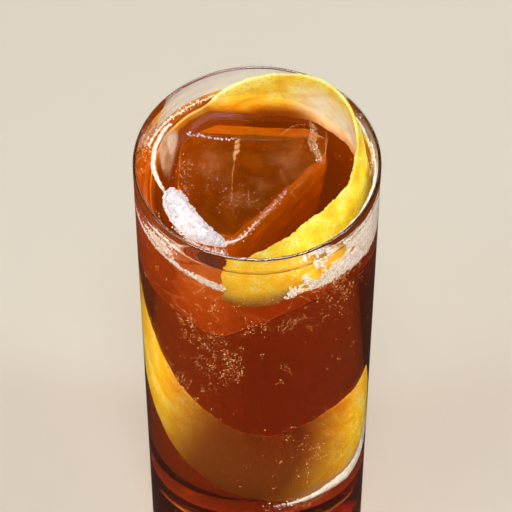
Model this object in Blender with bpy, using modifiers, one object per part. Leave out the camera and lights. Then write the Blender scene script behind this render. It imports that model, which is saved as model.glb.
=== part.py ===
"""An espresso tonic in a tall straight glass, with one block of ice and one long twist of lemon peel.

Units are metres and +Z is up. The origin is the middle of the glass's underside, so the glass stands
on the plane z = 0. Azimuths are in degrees, counter-clockwise from +X as seen from above, and -Y is
the front. Depths are measured down from the rim.
"""
import math

import bmesh
import bpy
from mathutils import Matrix, Vector

MM = 0.001
GAP = 0.3 * MM                 # clearance between pieces that touch
WELD = 0.05 * MM               # points nearer than this are one
SHARP_EDGE = 35.0              # degrees between faces that meet in a crease

# Glass: a straight highball of about 0.4 l
GLASS_RADIUS = 31.0 * MM
GLASS_HEIGHT = 169.0 * MM
WALL = 1.3 * MM
LIP = 0.85 * MM                # the wall thins to this at the rim
LIP_TAPER = 6.0 * MM           # over this depth
BASE_THICKNESS = 9.0 * MM
HEEL_ROUNDING = 5.0 * MM       # outer edge of the foot
INNER_ROUNDING = 4.0 * MM      # where the wall meets the floor inside
GLASS_STEPS = 72
BORE_RADIUS = GLASS_RADIUS - WALL

# Drink
LEVEL_DEPTH = 7.8 * MM         # from the rim down to the surface
LEVEL = GLASS_HEIGHT - LEVEL_DEPTH
DRINK_RADIUS = BORE_RADIUS - GAP

# Lemon peel: one strip that makes one and a quarter turns, from the rim to deep in the drink
PEEL_THICKNESS = 1.7 * MM
PEEL_EDGE_THINNING = 0.35      # how much of the thickness is lost at the two cut edges
PEEL_START = -107.0
PEEL_END = 352.0
PEEL_STEP = 4.0
PEEL_STIFFNESS = 8.0           # degrees either side over which its slope is evened out
PEEL_POINTS_ACROSS = 7
PEEL_FITTING_ROUNDS = 4        # rounds that bring its skin to the stated distance from the axis
PEEL_RAGGED = 0.35 * MM        # how far the cut edges wander
# azimuth, depth of the strip's middle below the rim in mm
PEEL_DEPTH = (
    (-107, 13.6), (-93, 13.2), (-82, 11.2), (-70, 9.2), (-45, 8.6), (0, 6.2), (42, 4.2), (62, 5.8),
    (82, 9.2), (97, 12.0), (109, 16.8), (130, 18.2), (142, 21.0), (158, 33.0), (178, 52.0),
    (200, 71.0), (225, 86.5), (250, 97.5), (275, 103.0), (300, 103.8), (325, 101.5), (352, 98.5),
)
# azimuth, width of the strip in mm
PEEL_WIDTH = (
    (-107, 15.5), (-85, 17.0), (-50, 18.5), (40, 17.5), (100, 17.0), (125, 15.5), (170, 18.0),
    (230, 26.0), (275, 30.0), (300, 34.0), (325, 38.0), (352, 36.0),
)
# azimuth, lean of the strip from upright in degrees, positive where its upper edge leans to the axis
PEEL_LEAN = (
    (-107, 0), (-92, 3), (-72, 13), (-50, 21), (-20, 15), (10, 10), (45, -4), (75, -8), (130, -9),
    (170, 0), (230, 8), (275, 10), (320, 6), (352, 0),
)
# azimuth, radius of the strip's bow across its width in mm: a lemon's, but flatter at the wide deep end
PEEL_BOW = ((-107, 30.0), (260, 30.0), (300, 48.0), (352, 70.0))
# azimuth, furthest that the skin comes from the axis in mm
PEEL_REACH = (
    (-107, 28.2), (40, 28.2), (75, 28.4), (210, 28.4), (235, 26.8), (255, 24.6), (275, 23.6),
    (295, 24.2), (315, 26.0), (335, 27.8), (352, 28.4),
)

# Ice: one block, cleaved by planes from a cube, with melted edges
ICE_TOP = GLASS_HEIGHT - 5.0 * MM
ICE_BOTTOM = GLASS_HEIGHT - 45.0 * MM
ICE_MELT = 1.1 * MM            # rounding of the melted edges
# each plane: outward direction, and its distance from the middle of the glass at the ice's top, in mm
ICE_SIDES = (
    ((0.05, 1.00, -0.04), 18.6),
    ((0.72, 0.69, -0.03), 21.6),
    ((1.00, 0.02, -0.05), 18.0),
    ((0.75, -0.66, -0.08), 9.6),
    ((-0.20, -0.98, -0.04), 19.6),
    ((-0.87, -0.50, -0.03), 19.0),
    ((-1.00, 0.06, -0.02), 20.0),
    ((-0.66, 0.75, -0.03), 21.2),
)
# facets of the top: outward direction, and a point on each as x, y and depth below the rim, in mm
ICE_FACETS = (
    ((0.03, 0.55, 0.83), (0.0, 11.5, 5.4)),
    ((-0.10, -0.02, 1.00), (-6.0, 5.0, 5.2)),
    ((0.07, -0.06, 1.00), (-5.0, 5.0, 5.2)),
    ((0.45, -0.40, 0.80), (7.0, -4.0, 7.0)),
)

# Froth: a mound beside the ice, and a collar of bubbles along the wall on both sides of the peel's end
MOUND_AZIMUTH = -141.0
MOUND_HALF_SPREAD = 29.0       # degrees each way
MOUND_RADIUS = 21.7 * MM       # from the axis to its middle
MOUND_HALF_WIDTH = 3.0 * MM
MOUND_HEIGHT = 3.3 * MM
COLLAR_STEP = 4.0
COLLAR_THICKNESS = 0.5 * MM
# stretches of the collar either side of the peel's end: name, first and last azimuth
COLLARS = (("froth_collar_left", -171.0, -109.0), ("froth_collar_right", -76.0, 14.0))
# azimuth, depths of the collar's upper and lower edges below the rim in mm
COLLAR_TOP = ((-171, 7.0), (-109, 6.8), (-76, 3.4), (-45, 2.0), (14, 2.4))
COLLAR_FOOT = ((-171, 12.6), (-125, 13.6), (-85, 16.5), (-50, 18.0), (-20, 20.5), (14, 17.0))


def clear_scene():
    for item in list(bpy.data.objects):
        bpy.data.objects.remove(item, do_unlink=True)


def new_collection(name):
    collection = bpy.data.collections.new(name)
    bpy.context.scene.collection.children.link(collection)
    return collection


def plain_material(name, colour, roughness, transmission=0.0):
    material = bpy.data.materials.new(name)
    material.use_nodes = True
    shader = material.node_tree.nodes["Principled BSDF"]
    shader.inputs["Base Color"].default_value = (*colour, 1.0)
    shader.inputs["Roughness"].default_value = roughness
    shader.inputs["Metallic"].default_value = 0.0
    shader.inputs["Transmission Weight"].default_value = transmission
    material.diffuse_color = (*colour, 1.0)
    return material


def add_object(name, mesh, collection, material=None):
    item = bpy.data.objects.new(name, mesh)
    collection.objects.link(item)
    if material is not None:
        mesh.materials.append(material)
    return item


def as_cutter(item):
    item.hide_render = True
    item.display_type = "WIRE"
    return item


def cut(target, cutter):
    modifier = target.modifiers.new("cut for " + cutter.name, "BOOLEAN")
    modifier.operation = "DIFFERENCE"
    modifier.object = cutter


def follow(stations, azimuth):
    """Read a smooth curve through (azimuth, value) stations, by cubic Hermite spans."""
    last = len(stations) - 1
    i = 0
    while i < last - 1 and azimuth > stations[i + 1][0]:
        i += 1
    a0, v0 = stations[i]
    a1, v1 = stations[i + 1]
    span = a1 - a0
    before = stations[max(i - 1, 0)]
    after = stations[min(i + 2, last)]
    slope0 = (v1 - before[1]) / (a1 - before[0])
    slope1 = (after[1] - v0) / (after[0] - a0)
    t = min(max((azimuth - a0) / span, 0.0), 1.0)
    return (
        (2 * t**3 - 3 * t**2 + 1) * v0
        + (t**3 - 2 * t**2 + t) * span * slope0
        + (3 * t**2 - 2 * t**3) * v1
        + (t**3 - t**2) * span * slope1
    )


def arc(centre, radius, start, end, count):
    """Points on an arc in the profile plane, angles in degrees from +X."""
    points = []
    for k in range(count + 1):
        angle = math.radians(start + (end - start) * k / count)
        points.append((centre[0] + radius * math.cos(angle), centre[1] + radius * math.sin(angle)))
    return points


def turned(name, profile, collection, material=None):
    """Spin a profile of (radius, height) points round the Z axis. It runs down its outer side."""
    mesh = bpy.data.meshes.new(name)
    vertices = [(radius, 0.0, height) for radius, height in profile]
    edges = [(k, k + 1) for k in range(len(profile) - 1)]
    mesh.from_pydata(vertices, edges, [])
    item = add_object(name, mesh, collection, material)
    screw = item.modifiers.new("turn", "SCREW")
    screw.steps = GLASS_STEPS
    screw.render_steps = GLASS_STEPS
    screw.use_merge_vertices = True
    screw.merge_threshold = 0.00001
    screw.use_smooth_shade = True
    return item


def glass_profile():
    rim = LIP / 2
    floor = (BORE_RADIUS - INNER_ROUNDING, BASE_THICKNESS + INNER_ROUNDING)
    heel = (GLASS_RADIUS - HEEL_ROUNDING, HEEL_ROUNDING)
    inside = [(0.0, BASE_THICKNESS)] + arc(floor, INNER_ROUNDING, -90, 0, 4)
    taper = [(BORE_RADIUS, GLASS_HEIGHT - LIP_TAPER)]
    lip = arc((GLASS_RADIUS - rim, GLASS_HEIGHT - rim), rim, 180, 0, 6)
    outside = arc(heel, HEEL_ROUNDING, 0, -90, 5) + [(0.0, 0.0)]
    return inside + taper + lip + outside


def drink_profile():
    floor = BASE_THICKNESS + GAP
    corner = (BORE_RADIUS - INNER_ROUNDING, BASE_THICKNESS + INNER_ROUNDING)
    side = arc(corner, INNER_ROUNDING - GAP, 0, -90, 4)
    return [(0.0, LEVEL), (DRINK_RADIUS, LEVEL)] + side + [(0.0, floor)]


def peel_frame(azimuth):
    """Centre line direction, direction across the strip (upward) and outward normal, with its lean.

    The slope is taken over a stretch as long as half the strip's width, because peel bends slowly."""
    before, after = azimuth - PEEL_STIFFNESS, azimuth + PEEL_STIFFNESS
    rise = MM * (follow(PEEL_DEPTH, before) - follow(PEEL_DEPTH, after))
    run = MM * follow(PEEL_REACH, azimuth) * math.radians(2 * PEEL_STIFFNESS)
    turn = math.radians(azimuth)
    outward = Vector((math.cos(turn), math.sin(turn), 0.0))
    along = Vector((-math.sin(turn) * run, math.cos(turn) * run, rise)).normalized()
    across = outward.cross(along).normalized()
    lean = Matrix.Rotation(math.radians(-follow(PEEL_LEAN, azimuth)), 3, along)
    return along, lean @ across, lean @ outward


def ragged_edge(azimuth, side):
    """How far a cut edge wanders from its even line, by two waves that never quite repeat."""
    turn = math.radians(azimuth)
    return PEEL_RAGGED * (0.6 * math.sin(13 * turn + 2 * side) + 0.4 * math.sin(29 * turn + side))


def peel_section(azimuth, grow):
    """Closed ring of points round the strip, down its skin and back up its pith."""
    along, across, outward = peel_frame(azimuth)
    turn = math.radians(azimuth)
    half = 0.5 * MM * follow(PEEL_WIDTH, azimuth) + grow
    upper = half + ragged_edge(azimuth, 1)
    lower = half + ragged_edge(azimuth, 2)
    bow = MM * follow(PEEL_BOW, azimuth)
    skin, pith = [], []
    for k in range(PEEL_POINTS_ACROSS):
        share = k / (PEEL_POINTS_ACROSS - 1)
        angle = (upper - (upper + lower) * share) / bow
        normal = outward * math.cos(angle) + across * math.sin(angle)
        place = bow * (across * math.sin(angle) - outward * (1 - math.cos(angle)))
        thinned = PEEL_THICKNESS * (1 - PEEL_EDGE_THINNING * abs(2 * share - 1) ** 3)
        skin.append(place + normal * grow)
        pith.append(place - normal * (thinned + grow))
    centre = Vector((0.0, 0.0, GLASS_HEIGHT - MM * follow(PEEL_DEPTH, azimuth)))
    radial = Vector((math.cos(turn), math.sin(turn), 0.0))
    reach = MM * follow(PEEL_REACH, azimuth) + grow
    distance = reach
    for _ in range(PEEL_FITTING_ROUNDS):
        furthest = max((radial * distance + p).to_2d().length for p in skin)
        distance -= furthest - reach
    return [centre + radial * distance + p for p in skin + pith[::-1]]


def make_peel(name, collection, material=None, grow=0.0):
    """Loft the strip's sections into one closed ribbon."""
    count = round((PEEL_END - PEEL_START) / PEEL_STEP)
    azimuths = [PEEL_START + (PEEL_END - PEEL_START) * k / count for k in range(count + 1)]
    if grow > 0:
        extra = math.degrees(grow / DRINK_RADIUS)
        azimuths = [PEEL_START - extra] + azimuths + [PEEL_END + extra]
    shape = bmesh.new()
    rings = []
    for azimuth in azimuths:
        rings.append([shape.verts.new(point) for point in peel_section(azimuth, grow)])
    join_rings(shape, rings)
    return finish_mesh(name, shape, collection, material)


def join_rings(shape, rings):
    """Skin a row of like rings and close both ends."""
    size = len(rings[0])
    for first, second in zip(rings, rings[1:]):
        for k in range(size):
            after = (k + 1) % size
            shape.faces.new((first[k], first[after], second[after], second[k]))
    shape.faces.new(rings[0][::-1])
    shape.faces.new(rings[-1])
    bmesh.ops.triangulate(shape, faces=[face for face in shape.faces if len(face.verts) > 4])
    bmesh.ops.recalc_face_normals(shape, faces=shape.faces)


def finish_mesh(name, shape, collection, material):
    mesh = bpy.data.meshes.new(name)
    shape.to_mesh(mesh)
    shape.free()
    mesh.shade_smooth()
    mesh.set_sharp_from_angle(angle=math.radians(SHARP_EDGE))
    return add_object(name, mesh, collection, material)


def cleave(shape, point, direction):
    """Keep what lies behind a plane, and close the cut."""
    geometry = shape.verts[:] + shape.edges[:] + shape.faces[:]
    result = bmesh.ops.bisect_plane(
        shape, geom=geometry, dist=1e-7, plane_co=point, plane_no=direction, clear_outer=True
    )
    rim = [item for item in result["geom_cut"] if isinstance(item, bmesh.types.BMEdge)]
    if rim:
        bmesh.ops.edgeloop_fill(shape, edges=rim)


def make_ice(name, collection, material=None, grow=0.0):
    height = ICE_TOP - ICE_BOTTOM + 2 * grow
    place = Matrix.Translation((0.0, 0.0, (ICE_TOP + ICE_BOTTOM) / 2))
    size = Matrix.Diagonal((2 * GLASS_RADIUS, 2 * GLASS_RADIUS, height, 1.0))
    shape = bmesh.new()
    bmesh.ops.create_cube(shape, size=1.0, matrix=place @ size)
    for direction, distance in ICE_SIDES:
        normal = Vector(direction).normalized()
        level = Vector((normal.x, normal.y, 0.0)).normalized()
        cleave(shape, Vector((0, 0, ICE_TOP)) + level * MM * distance + normal * grow, normal)
    for direction, (x, y, depth) in ICE_FACETS:
        normal = Vector(direction).normalized()
        cleave(shape, Vector((x * MM, y * MM, GLASS_HEIGHT - depth * MM)) + normal * grow, normal)
    bmesh.ops.bevel(
        shape,
        geom=shape.edges[:],
        offset=ICE_MELT,
        segments=2,
        profile=0.5,
        affect="EDGES",
        clamp_overlap=True,
    )
    bmesh.ops.remove_doubles(shape, verts=shape.verts[:], dist=WELD)
    bmesh.ops.triangulate(shape, faces=shape.faces[:])
    bmesh.ops.recalc_face_normals(shape, faces=shape.faces)
    return finish_mesh(name, shape, collection, material)


def make_mound(name, collection, material):
    """Froth heaped on the surface: a ball flattened, bent round the axis and given soft lumps."""
    shape = bmesh.new()
    bmesh.ops.create_icosphere(shape, subdivisions=3, radius=1.0)
    for vertex in shape.verts:
        along, across, up = vertex.co
        lump = 1 + 0.07 * math.sin(7 * along + 4 * up) + 0.06 * math.sin(9 * across + 5 * along)
        azimuth = math.radians(MOUND_AZIMUTH + MOUND_HALF_SPREAD * along)
        taper = 1 - 0.25 * along
        radius = MOUND_RADIUS + MOUND_HALF_WIDTH * across * lump * taper
        height = LEVEL + MOUND_HEIGHT * up * lump * taper
        vertex.co = Vector((radius * math.cos(azimuth), radius * math.sin(azimuth), height))
    cleave(shape, Vector((0, 0, LEVEL + GAP)), Vector((0, 0, -1)))
    bmesh.ops.triangulate(shape, faces=shape.faces[:])
    bmesh.ops.recalc_face_normals(shape, faces=shape.faces)
    return finish_mesh(name, shape, collection, material)


def make_collar(name, first_azimuth, last_azimuth, collection, material=None, grow=0.0):
    """Froth that clings to the wall in a thin band."""
    extra = math.degrees(grow / DRINK_RADIUS)
    start, end = first_azimuth - extra, last_azimuth + extra
    count = round((end - start) / COLLAR_STEP)
    inner = DRINK_RADIUS - COLLAR_THICKNESS - grow
    outer = DRINK_RADIUS if grow == 0 else BORE_RADIUS + GAP
    shape = bmesh.new()
    rings = []
    for k in range(count + 1):
        azimuth = start + (end - start) * k / count
        turn = math.radians(azimuth)
        top = GLASS_HEIGHT - MM * follow(COLLAR_TOP, azimuth) + grow
        foot = GLASS_HEIGHT - MM * follow(COLLAR_FOOT, azimuth) - grow
        ring = ((inner, top), (outer, top), (outer, foot), (inner, foot))
        rings.append([shape.verts.new((r * math.cos(turn), r * math.sin(turn), z)) for r, z in ring])
    join_rings(shape, rings)
    return finish_mesh(name, shape, collection, material)


def build():
    clear_scene()
    pieces = new_collection("espresso_tonic")
    cutters = new_collection("cutters")

    clear_glass = plain_material("clear_soda_glass", (0.80, 0.83, 0.84), 0.03, transmission=0.9)
    coffee_tonic = plain_material("coffee_tonic", (0.22, 0.050, 0.008), 0.08)
    clear_ice = plain_material("clear_ice", (0.80, 0.72, 0.62), 0.10)
    lemon_skin = plain_material("lemon_peel", (0.90, 0.68, 0.05), 0.45)
    coffee_froth = plain_material("coffee_froth", (0.86, 0.80, 0.74), 0.70)

    turned("glass", glass_profile(), pieces, clear_glass)
    drink = turned("drink", drink_profile(), pieces, coffee_tonic)
    make_ice("ice_block", pieces, clear_ice)
    make_peel("lemon_peel", pieces, lemon_skin)
    mound = make_mound("froth_mound", pieces, coffee_froth)

    ice_room = as_cutter(make_ice("room_for_ice", cutters, grow=GAP))
    peel_room = as_cutter(make_peel("room_for_peel", cutters, grow=GAP))
    cut(drink, ice_room)
    cut(drink, peel_room)
    cut(mound, ice_room)
    for name, start, end in COLLARS:
        make_collar(name, start, end, pieces, coffee_froth)
        room = as_cutter(make_collar("room_for_" + name, start, end, cutters, grow=GAP))
        cut(drink, room)


build()
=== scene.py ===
"""Looks of the espresso tonic: clear glass, iced coffee and tonic, melting ice, lemon peel and froth.

Metres, +Z up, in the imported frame. Azimuths are in degrees, counter-clockwise from +X as seen from
above, and -Y is the front. Depths are measured down from the rim.
"""
import math
import random

import bmesh
import bpy
import numpy as np
from mathutils import Matrix, Vector, kdtree, noise


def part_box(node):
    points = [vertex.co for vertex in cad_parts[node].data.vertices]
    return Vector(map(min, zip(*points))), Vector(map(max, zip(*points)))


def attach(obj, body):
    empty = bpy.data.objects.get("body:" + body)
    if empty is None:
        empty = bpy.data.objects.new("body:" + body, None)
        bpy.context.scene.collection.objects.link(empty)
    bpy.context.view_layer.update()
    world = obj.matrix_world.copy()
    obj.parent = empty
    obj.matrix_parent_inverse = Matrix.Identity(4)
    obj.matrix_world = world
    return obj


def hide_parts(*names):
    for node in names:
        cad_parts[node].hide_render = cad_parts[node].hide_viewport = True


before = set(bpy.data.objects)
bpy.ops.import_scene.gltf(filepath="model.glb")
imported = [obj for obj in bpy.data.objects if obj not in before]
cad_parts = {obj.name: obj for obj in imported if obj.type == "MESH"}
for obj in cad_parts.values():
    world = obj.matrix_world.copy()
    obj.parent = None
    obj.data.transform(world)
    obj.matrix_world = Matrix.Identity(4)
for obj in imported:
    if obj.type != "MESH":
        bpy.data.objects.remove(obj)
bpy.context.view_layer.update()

MM = 0.001

# Sizes read from the frame
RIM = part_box("glass")[1].z
GLASS_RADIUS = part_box("glass")[1].x
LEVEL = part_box("drink")[1].z
ICE_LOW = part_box("ice_block")[0].z

# Camera: looks down at the mouth from the front
CAMERA_PITCH = 53.575          # degrees below the horizon
CAMERA_DISTANCE = 666.6 * MM   # from the rim's middle, along the line of sight
CAMERA_RISE = 23.8 * MM        # how far the line of sight passes below the rim's middle
CAMERA_SIDE = 0.26 * MM
LENS = 188.28                  # on a 36 mm sensor

# Glass
WALL = 1.3 * MM
LIP = 0.85 * MM                # the wall thins to this at the rim
LIP_TAPER = 6.0 * MM
BORE_RADIUS = GLASS_RADIUS - WALL
BASE_THICKNESS = 9.0 * MM
HEEL_ROUNDING = 5.0 * MM
INNER_ROUNDING = 4.0 * MM
STEPS_ROUND = 240

# Drink
REACH_INTO_WALL = 0.15 * MM
MENISCUS_AT_WALL = 1.3 * MM    # how high the drink climbs
MENISCUS_AT_ICE = 0.7 * MM
MENISCUS_AT_PEEL = 0.8 * MM
MENISCUS_WIDTH = 1.5 * MM
SURFACE_RINGS = 84
RING_CROWDING = 0.8            # below 1 the rings crowd towards the wall

# Lemon peel, the strip's path as in the solid. Its stations are azimuth and value: depth below the rim,
# width, radius of the bow across the strip and distance from the axis in mm, and lean in degrees.
PEEL_THICKNESS = 1.7 * MM
PEEL_EDGE_THINNING = 0.55
PEEL_START = -107.0
PEEL_END = 352.0
PEEL_STEP = 0.6
PEEL_STIFFNESS = 8.0
PEEL_RAGGED = 0.35 * MM
END_TEAR = 1.3 * MM
PEEL_DEPTH = (
    (-107, 13.6), (-93, 13.2), (-82, 11.2), (-70, 9.2), (-45, 8.6), (0, 6.2), (42, 4.2), (62, 5.8),
    (82, 9.2), (97, 12.0), (109, 16.8), (130, 18.2), (142, 21.0), (158, 33.0), (178, 52.0),
    (200, 71.0), (225, 86.5), (250, 97.5), (275, 103.0), (300, 103.8), (325, 101.5), (352, 98.5),
)
PEEL_WIDTH = (
    (-107, 15.5), (-85, 17.0), (-50, 18.5), (40, 17.5), (100, 17.0), (125, 15.5), (170, 18.0),
    (230, 26.0), (275, 30.0), (300, 34.0), (325, 38.0), (352, 36.0),
)
PEEL_LEAN = (
    (-107, 0), (-92, 3), (-72, 13), (-50, 21), (-20, 15), (10, 10), (45, -4), (75, -8), (130, -9),
    (170, 0), (230, 8), (275, 10), (320, 6), (352, 0),
)
PEEL_BOW = ((-107, 30.0), (260, 30.0), (300, 48.0), (352, 70.0))
PEEL_REACH = (
    (-107, 28.8), (40, 28.8), (75, 28.8), (210, 28.8), (235, 26.9), (255, 24.6), (275, 23.6),
    (295, 24.4), (315, 26.6), (335, 28.8), (352, 29.2),
)
SKIN_POINTS = 44               # across the strip, on each face
PITH_POINTS = 26
EDGE_POINTS = 4                # round each cut edge
EDGE_BULGE = 0.012             # of the strip's width
PORE_SPACING = 1.15 * MM
PORE_DEPTH = 0.10 * MM
ZEST_SHARE = 0.3               # yellow share of the strip's thickness

# Where pith shows on the strip: it comes over the first two azimuths and goes over the last two
PITH_RIGHT = (0, 15, 52, 80)
PITH_LEFT = (128, 145, 175, 200)
PITH_ALL_OVER = 0.06
SKIN_TORN = (285, 305)         # azimuths over which the skin's lower edge tears off
# Where the strip darkens, a coffee stain and painted shade: azimuths over which each comes or goes
END_STAIN_AND_SHADE_GOES = (-84, -58)
BACK_STAIN_AND_SHADE_COMES = (48, 75)
STRIP_SINKS = (98, 114)
BACK_STAIN_AND_SHADE_GOES = (165, 190)
LOW_STAIN_AND_SHADE_COMES = (205, 242)
LOW_STAIN_AND_SHADE_GOES = (292, 335)

# Ice, cleaved as in the solid
ICE_TOP_DEPTH = 5.0 * MM
ICE_MELT = 1.1 * MM            # how far its edges have melted
# Each side's outward direction, and its distance in mm from the axis at the top of the ice
ICE_SIDES = (
    ((0.05, 1.00, -0.04), 18.6),
    ((0.72, 0.69, -0.03), 21.6),
    ((1.00, 0.02, -0.05), 18.0),
    ((0.75, -0.66, -0.08), 9.6),
    ((-0.20, -0.98, -0.04), 19.6),
    ((-0.87, -0.50, -0.03), 19.0),
    ((-1.00, 0.06, -0.02), 20.0),
    ((-0.66, 0.75, -0.03), 21.2),
)
# Each top facet's direction, and a point of it: x, y and depth below the rim in mm
ICE_FACETS = (
    ((0.03, 0.55, 0.83), (0.0, 11.5, 5.4)),
    ((-0.10, -0.02, 1.00), (-6.0, 5.0, 5.2)),
    ((0.07, -0.06, 1.00), (-5.0, 5.0, 5.2)),
    ((0.45, -0.40, 0.80), (7.0, -4.0, 7.0)),
)
ICE_VOXEL = 0.6 * MM
ICE_IN_DRINK = 0.12 * MM       # overlap of ice and drink, so that no gap shows between them
# Width and depth of its dents, from broad to fine
ICE_DENTS = ((6.5 * MM, 0.35 * MM), (2.2 * MM, 0.08 * MM))
DENT_BIAS = 0.15               # how much its dents, and the mound's, outweigh the lumps between them

# Froth mound
MOUND_AZIMUTH = -141.0         # of its middle
MOUND_HALF_SPREAD = 29.0       # in degrees round the wall
MOUND_RADIUS = 21.7 * MM
MOUND_HALF_WIDTH = 3.0 * MM
MOUND_HEIGHT = 3.3 * MM
# Width and height of its lumps, from broad to fine
MOUND_LUMPS = ((3.6 * MM, 0.55 * MM), (0.8 * MM, 0.12 * MM))
MOUND_BUBBLES = 2400
MOUND_BUBBLE_RADII = (0.07, 0.34)  # in mm, as are all radii of bubbles

# Froth collars on the wall: azimuth, and depth of their upper and lower edges in mm
COLLAR_TOP = ((-171, 7.0), (-109, 6.8), (-76, 3.4), (-45, 2.0), (14, 2.4))
COLLAR_FOOT = ((-171, 12.6), (-125, 13.6), (-85, 16.5), (-50, 18.0), (-20, 20.5), (14, 17.0))
# Patches on the wall: azimuth, depth in mm, half spread in degrees, half height in mm, and how much
# deeper the patch lies for each degree round. The right collar has clear gaps, the left a lacy end.
COLLAR_GAPS = (
    (-48.5, 7.6, 6.2, 3.3, -0.10),
    (-69.0, 7.8, 4.8, 2.3, 0.0),
    (-61.5, 12.2, 4.8, 2.1, 0.0),
    (-57.5, 6.0, 2.4, 1.2, 0.0),
    (-63.5, 5.2, 2.6, 1.1, 0.0),
    (-54.0, 11.2, 2.0, 1.1, 0.0),
    (-70.0, 12.6, 2.6, 1.2, 0.0),
    (-39.5, 10.8, 1.8, 1.0, 0.0),
    (-66.5, 15.2, 1.8, 0.9, 0.0),
)
LACY_PATCH = (-143, 9.6, 11, 2.4, -0.05)
# Azimuths, and depths in mm, that each collar lies within
RIGHT_COLLAR = ((-77, 15), (1.6, 22.5))
LEFT_COLLAR = ((-172, -104), (5.5, 15.4))
# Azimuth at which each end of a collar frays out, and how fast
RIGHT_COLLAR_START = (-72, 0.22)
RIGHT_COLLAR_END = (7, 0.16)
LEFT_COLLAR_END = (-107, 0.35)
LACY_CORNER = ((-72, -50), (9.0, 15.0))  # azimuths and depths past which the right collar is dense
LINE_WIDENS = (-125, -110)     # azimuths over which the left collar's line of froth widens
# How many bubbles, and their radii
RIGHT_COLLAR_BUBBLES = (8500, 0.12, 0.32)
LEFT_COLLAR_BUBBLES = (3000, 0.08, 0.30)
RIGHT_SHEET = 0.35 * MM        # thickness of the froth between the bubbles
LEFT_SHEET = 0.25 * MM

# Froth threads: x and y in mm on the drink, or azimuth and depth in mm on the wall
DIP_LINE = (
    (-21.7, 17.8), (-23.2, 16.6), (-24.7, 13.5), (-25.9, 9.6),
    (-26.2, 4.7), (-25.4, 0.9), (-24.3, -1.7), (-22.6, -5.0),
)
FILM_OUTER = (
    (-21.9, -3.0), (-22.9, -0.6), (-23.9, 2.2), (-24.7, 5.7),
    (-25.1, 9.2), (-24.6, 12.4), (-23.2, 15.4), (-21.0, 16.8),
)
FILM_INNER = (
    (-21.9, -3.0), (-21.6, -0.6), (-21.3, 2.2), (-20.7, 5.7),
    (-20.2, 9.2), (-19.9, 12.4), (-20.0, 15.4), (-21.0, 16.8),
)
MOUND_SKIRT = ((-20.0, -14.6), (-17.4, -18.4), (-14.4, -21.2), (-11.0, -23.0), (-7.8, -23.0))
ICE_TAIL = ((-10.4, -20.0), (-7.2, -19.9), (-4.2, -18.8), (-2.5, -16.9), (-1.2, -15.2), (0.0, -13.6))
BACK_LINE = ((109, 7.4), (117, 7.5), (126, 7.4), (135, 7.2), (143, 6.8), (151, 6.6), (160, 6.8))
RIGHT_SMEAR = ((14, 3.6), (24, 3.4), (34, 3.2), (44, 3.6))
PITH_ON_WALL = (
    (-8, 107.0), (-17, 115.8), (-24, 118.4), (-35, 118.6),
    (-48, 117.0), (-60, 116.8), (-74, 116.4),
)
PITH_BUBBLES = 90              # by each of the last three places
PITH_BUBBLE_SPREAD = (5, 0.7)  # in degrees, and in mm up and down
THREAD_BUBBLE_RADII = (0.06, 0.24)
PITH_BUBBLE_RADII = (0.10, 0.34)
FILM_THICKNESS = 0.12 * MM
FILM_LIFT = 0.05 * MM
LEANING_PEAK = 3.081           # makes the greatest value of a leaning size just what is asked for

# Fizz clinging to the wall: azimuth, depth in mm, spread in degrees, spread in mm, and how many
FIZZ_CLOUDS = (
    (-125, 36, 4, 4.5, 210), (-113, 39, 4, 5, 220), (-103, 48, 3, 4, 170), (-111, 52, 7, 3, 180),
    (-131, 72, 4, 7, 320), (-96, 32, 4, 4, 90), (-73, 29, 9, 3, 190), (-44, 26, 10, 5, 260),
    (-76, 50, 2.5, 2, 45), (-57, 98, 13, 10, 520), (-115, 21, 6, 2.5, 120), (-112, 64, 3, 3, 40),
    (-41, 56, 2.5, 2, 22), (-55, 19, 12, 2.0, 260), (-62, 118, 9, 2.0, 320), (160, 10, 8, 3, 160),
    (-160, 18, 8, 8, 80), (100, 10, 40, 1.2, 260), (60, 25, 30, 10, 120),
)
FIZZ_GROUP = 8                 # bubbles that cling together
FIZZ_GROUP_SPREAD = (1.1, 0.8)  # in degrees, and in mm up and down
FIZZ_RADII = (0.07, 0.24)
STRAY_FIZZ = 900
STRAY_FIZZ_RADII = (0.07, 0.26)
STRAY_FIZZ_DEPTHS = (12, 147)  # in mm, crowded towards the first
FIZZ_INSET = 0.03 * MM         # between a bubble and the wall

# Marks in the ice: points across it in mm, their depth below the rim, half width and half height in mm
ICE_CRACKS = (
    (((-4.7, 12.2), (-4.9, 10.4), (-5.2, 8.1), (-5.8, 4.9)), 6.6, 0.70, 0.20),
    (((-5.4, 6.0), (-6.1, 1.7), (-6.3, -3.4), (-6.2, -8.5)), 6.6, 0.10, 0.35),
    (((5.6, 13.3), (7.6, 15.0), (9.7, 16.6), (12.7, 16.9)), 6.6, 0.10, 0.2),
    (((13.3, 18.0), (14.6, 14.5), (13.9, 10.4), (15.2, 7.4), (16.0, 4.2)), 6.4, 1.15, 0.35),
    (((16.2, 18.0), (17.4, 15.4), (17.6, 11.1), (16.8, 6.4), (15.4, 3.6)), 7.0, 0.16, 0.6),
    (((0.0, -13.4), (2.0, -11.1), (3.7, -8.9), (5.7, -6.4)), 7.6, 0.30, 0.35),
    (((5.0, 5.0), (5.9, 2.0), (7.5, -2.1), (10.0, -7.2)), 7.2, 0.05, 0.25),
    (((7.9, -5.2), (9.2, -3.7), (11.8, -0.2), (14.3, 4.0)), 7.2, 0.06, 0.25),
    (((1.0, -6.2), (-1.6, -7.4), (-4.4, -7.0), (-7.0, -6.2)), 8.0, 0.06, 0.15),
)
CRACK_ENDS = 0.03 * MM         # half width and half height where a crack runs out
CRACK_JOG = 0.35 * MM          # how far it strays from its line
# Clouds of fine air in the ice: middle in mm, depth below the rim, half sizes across it in mm
ICE_CLOUDS = (
    (-3.0, -4.0, 7.6, 9.5, 8.5),
    (8.0, 6.0, 8.2, 9.0, 9.0),
    (-11.0, 5.0, 8.8, 6.5, 8.0),
)
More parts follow.
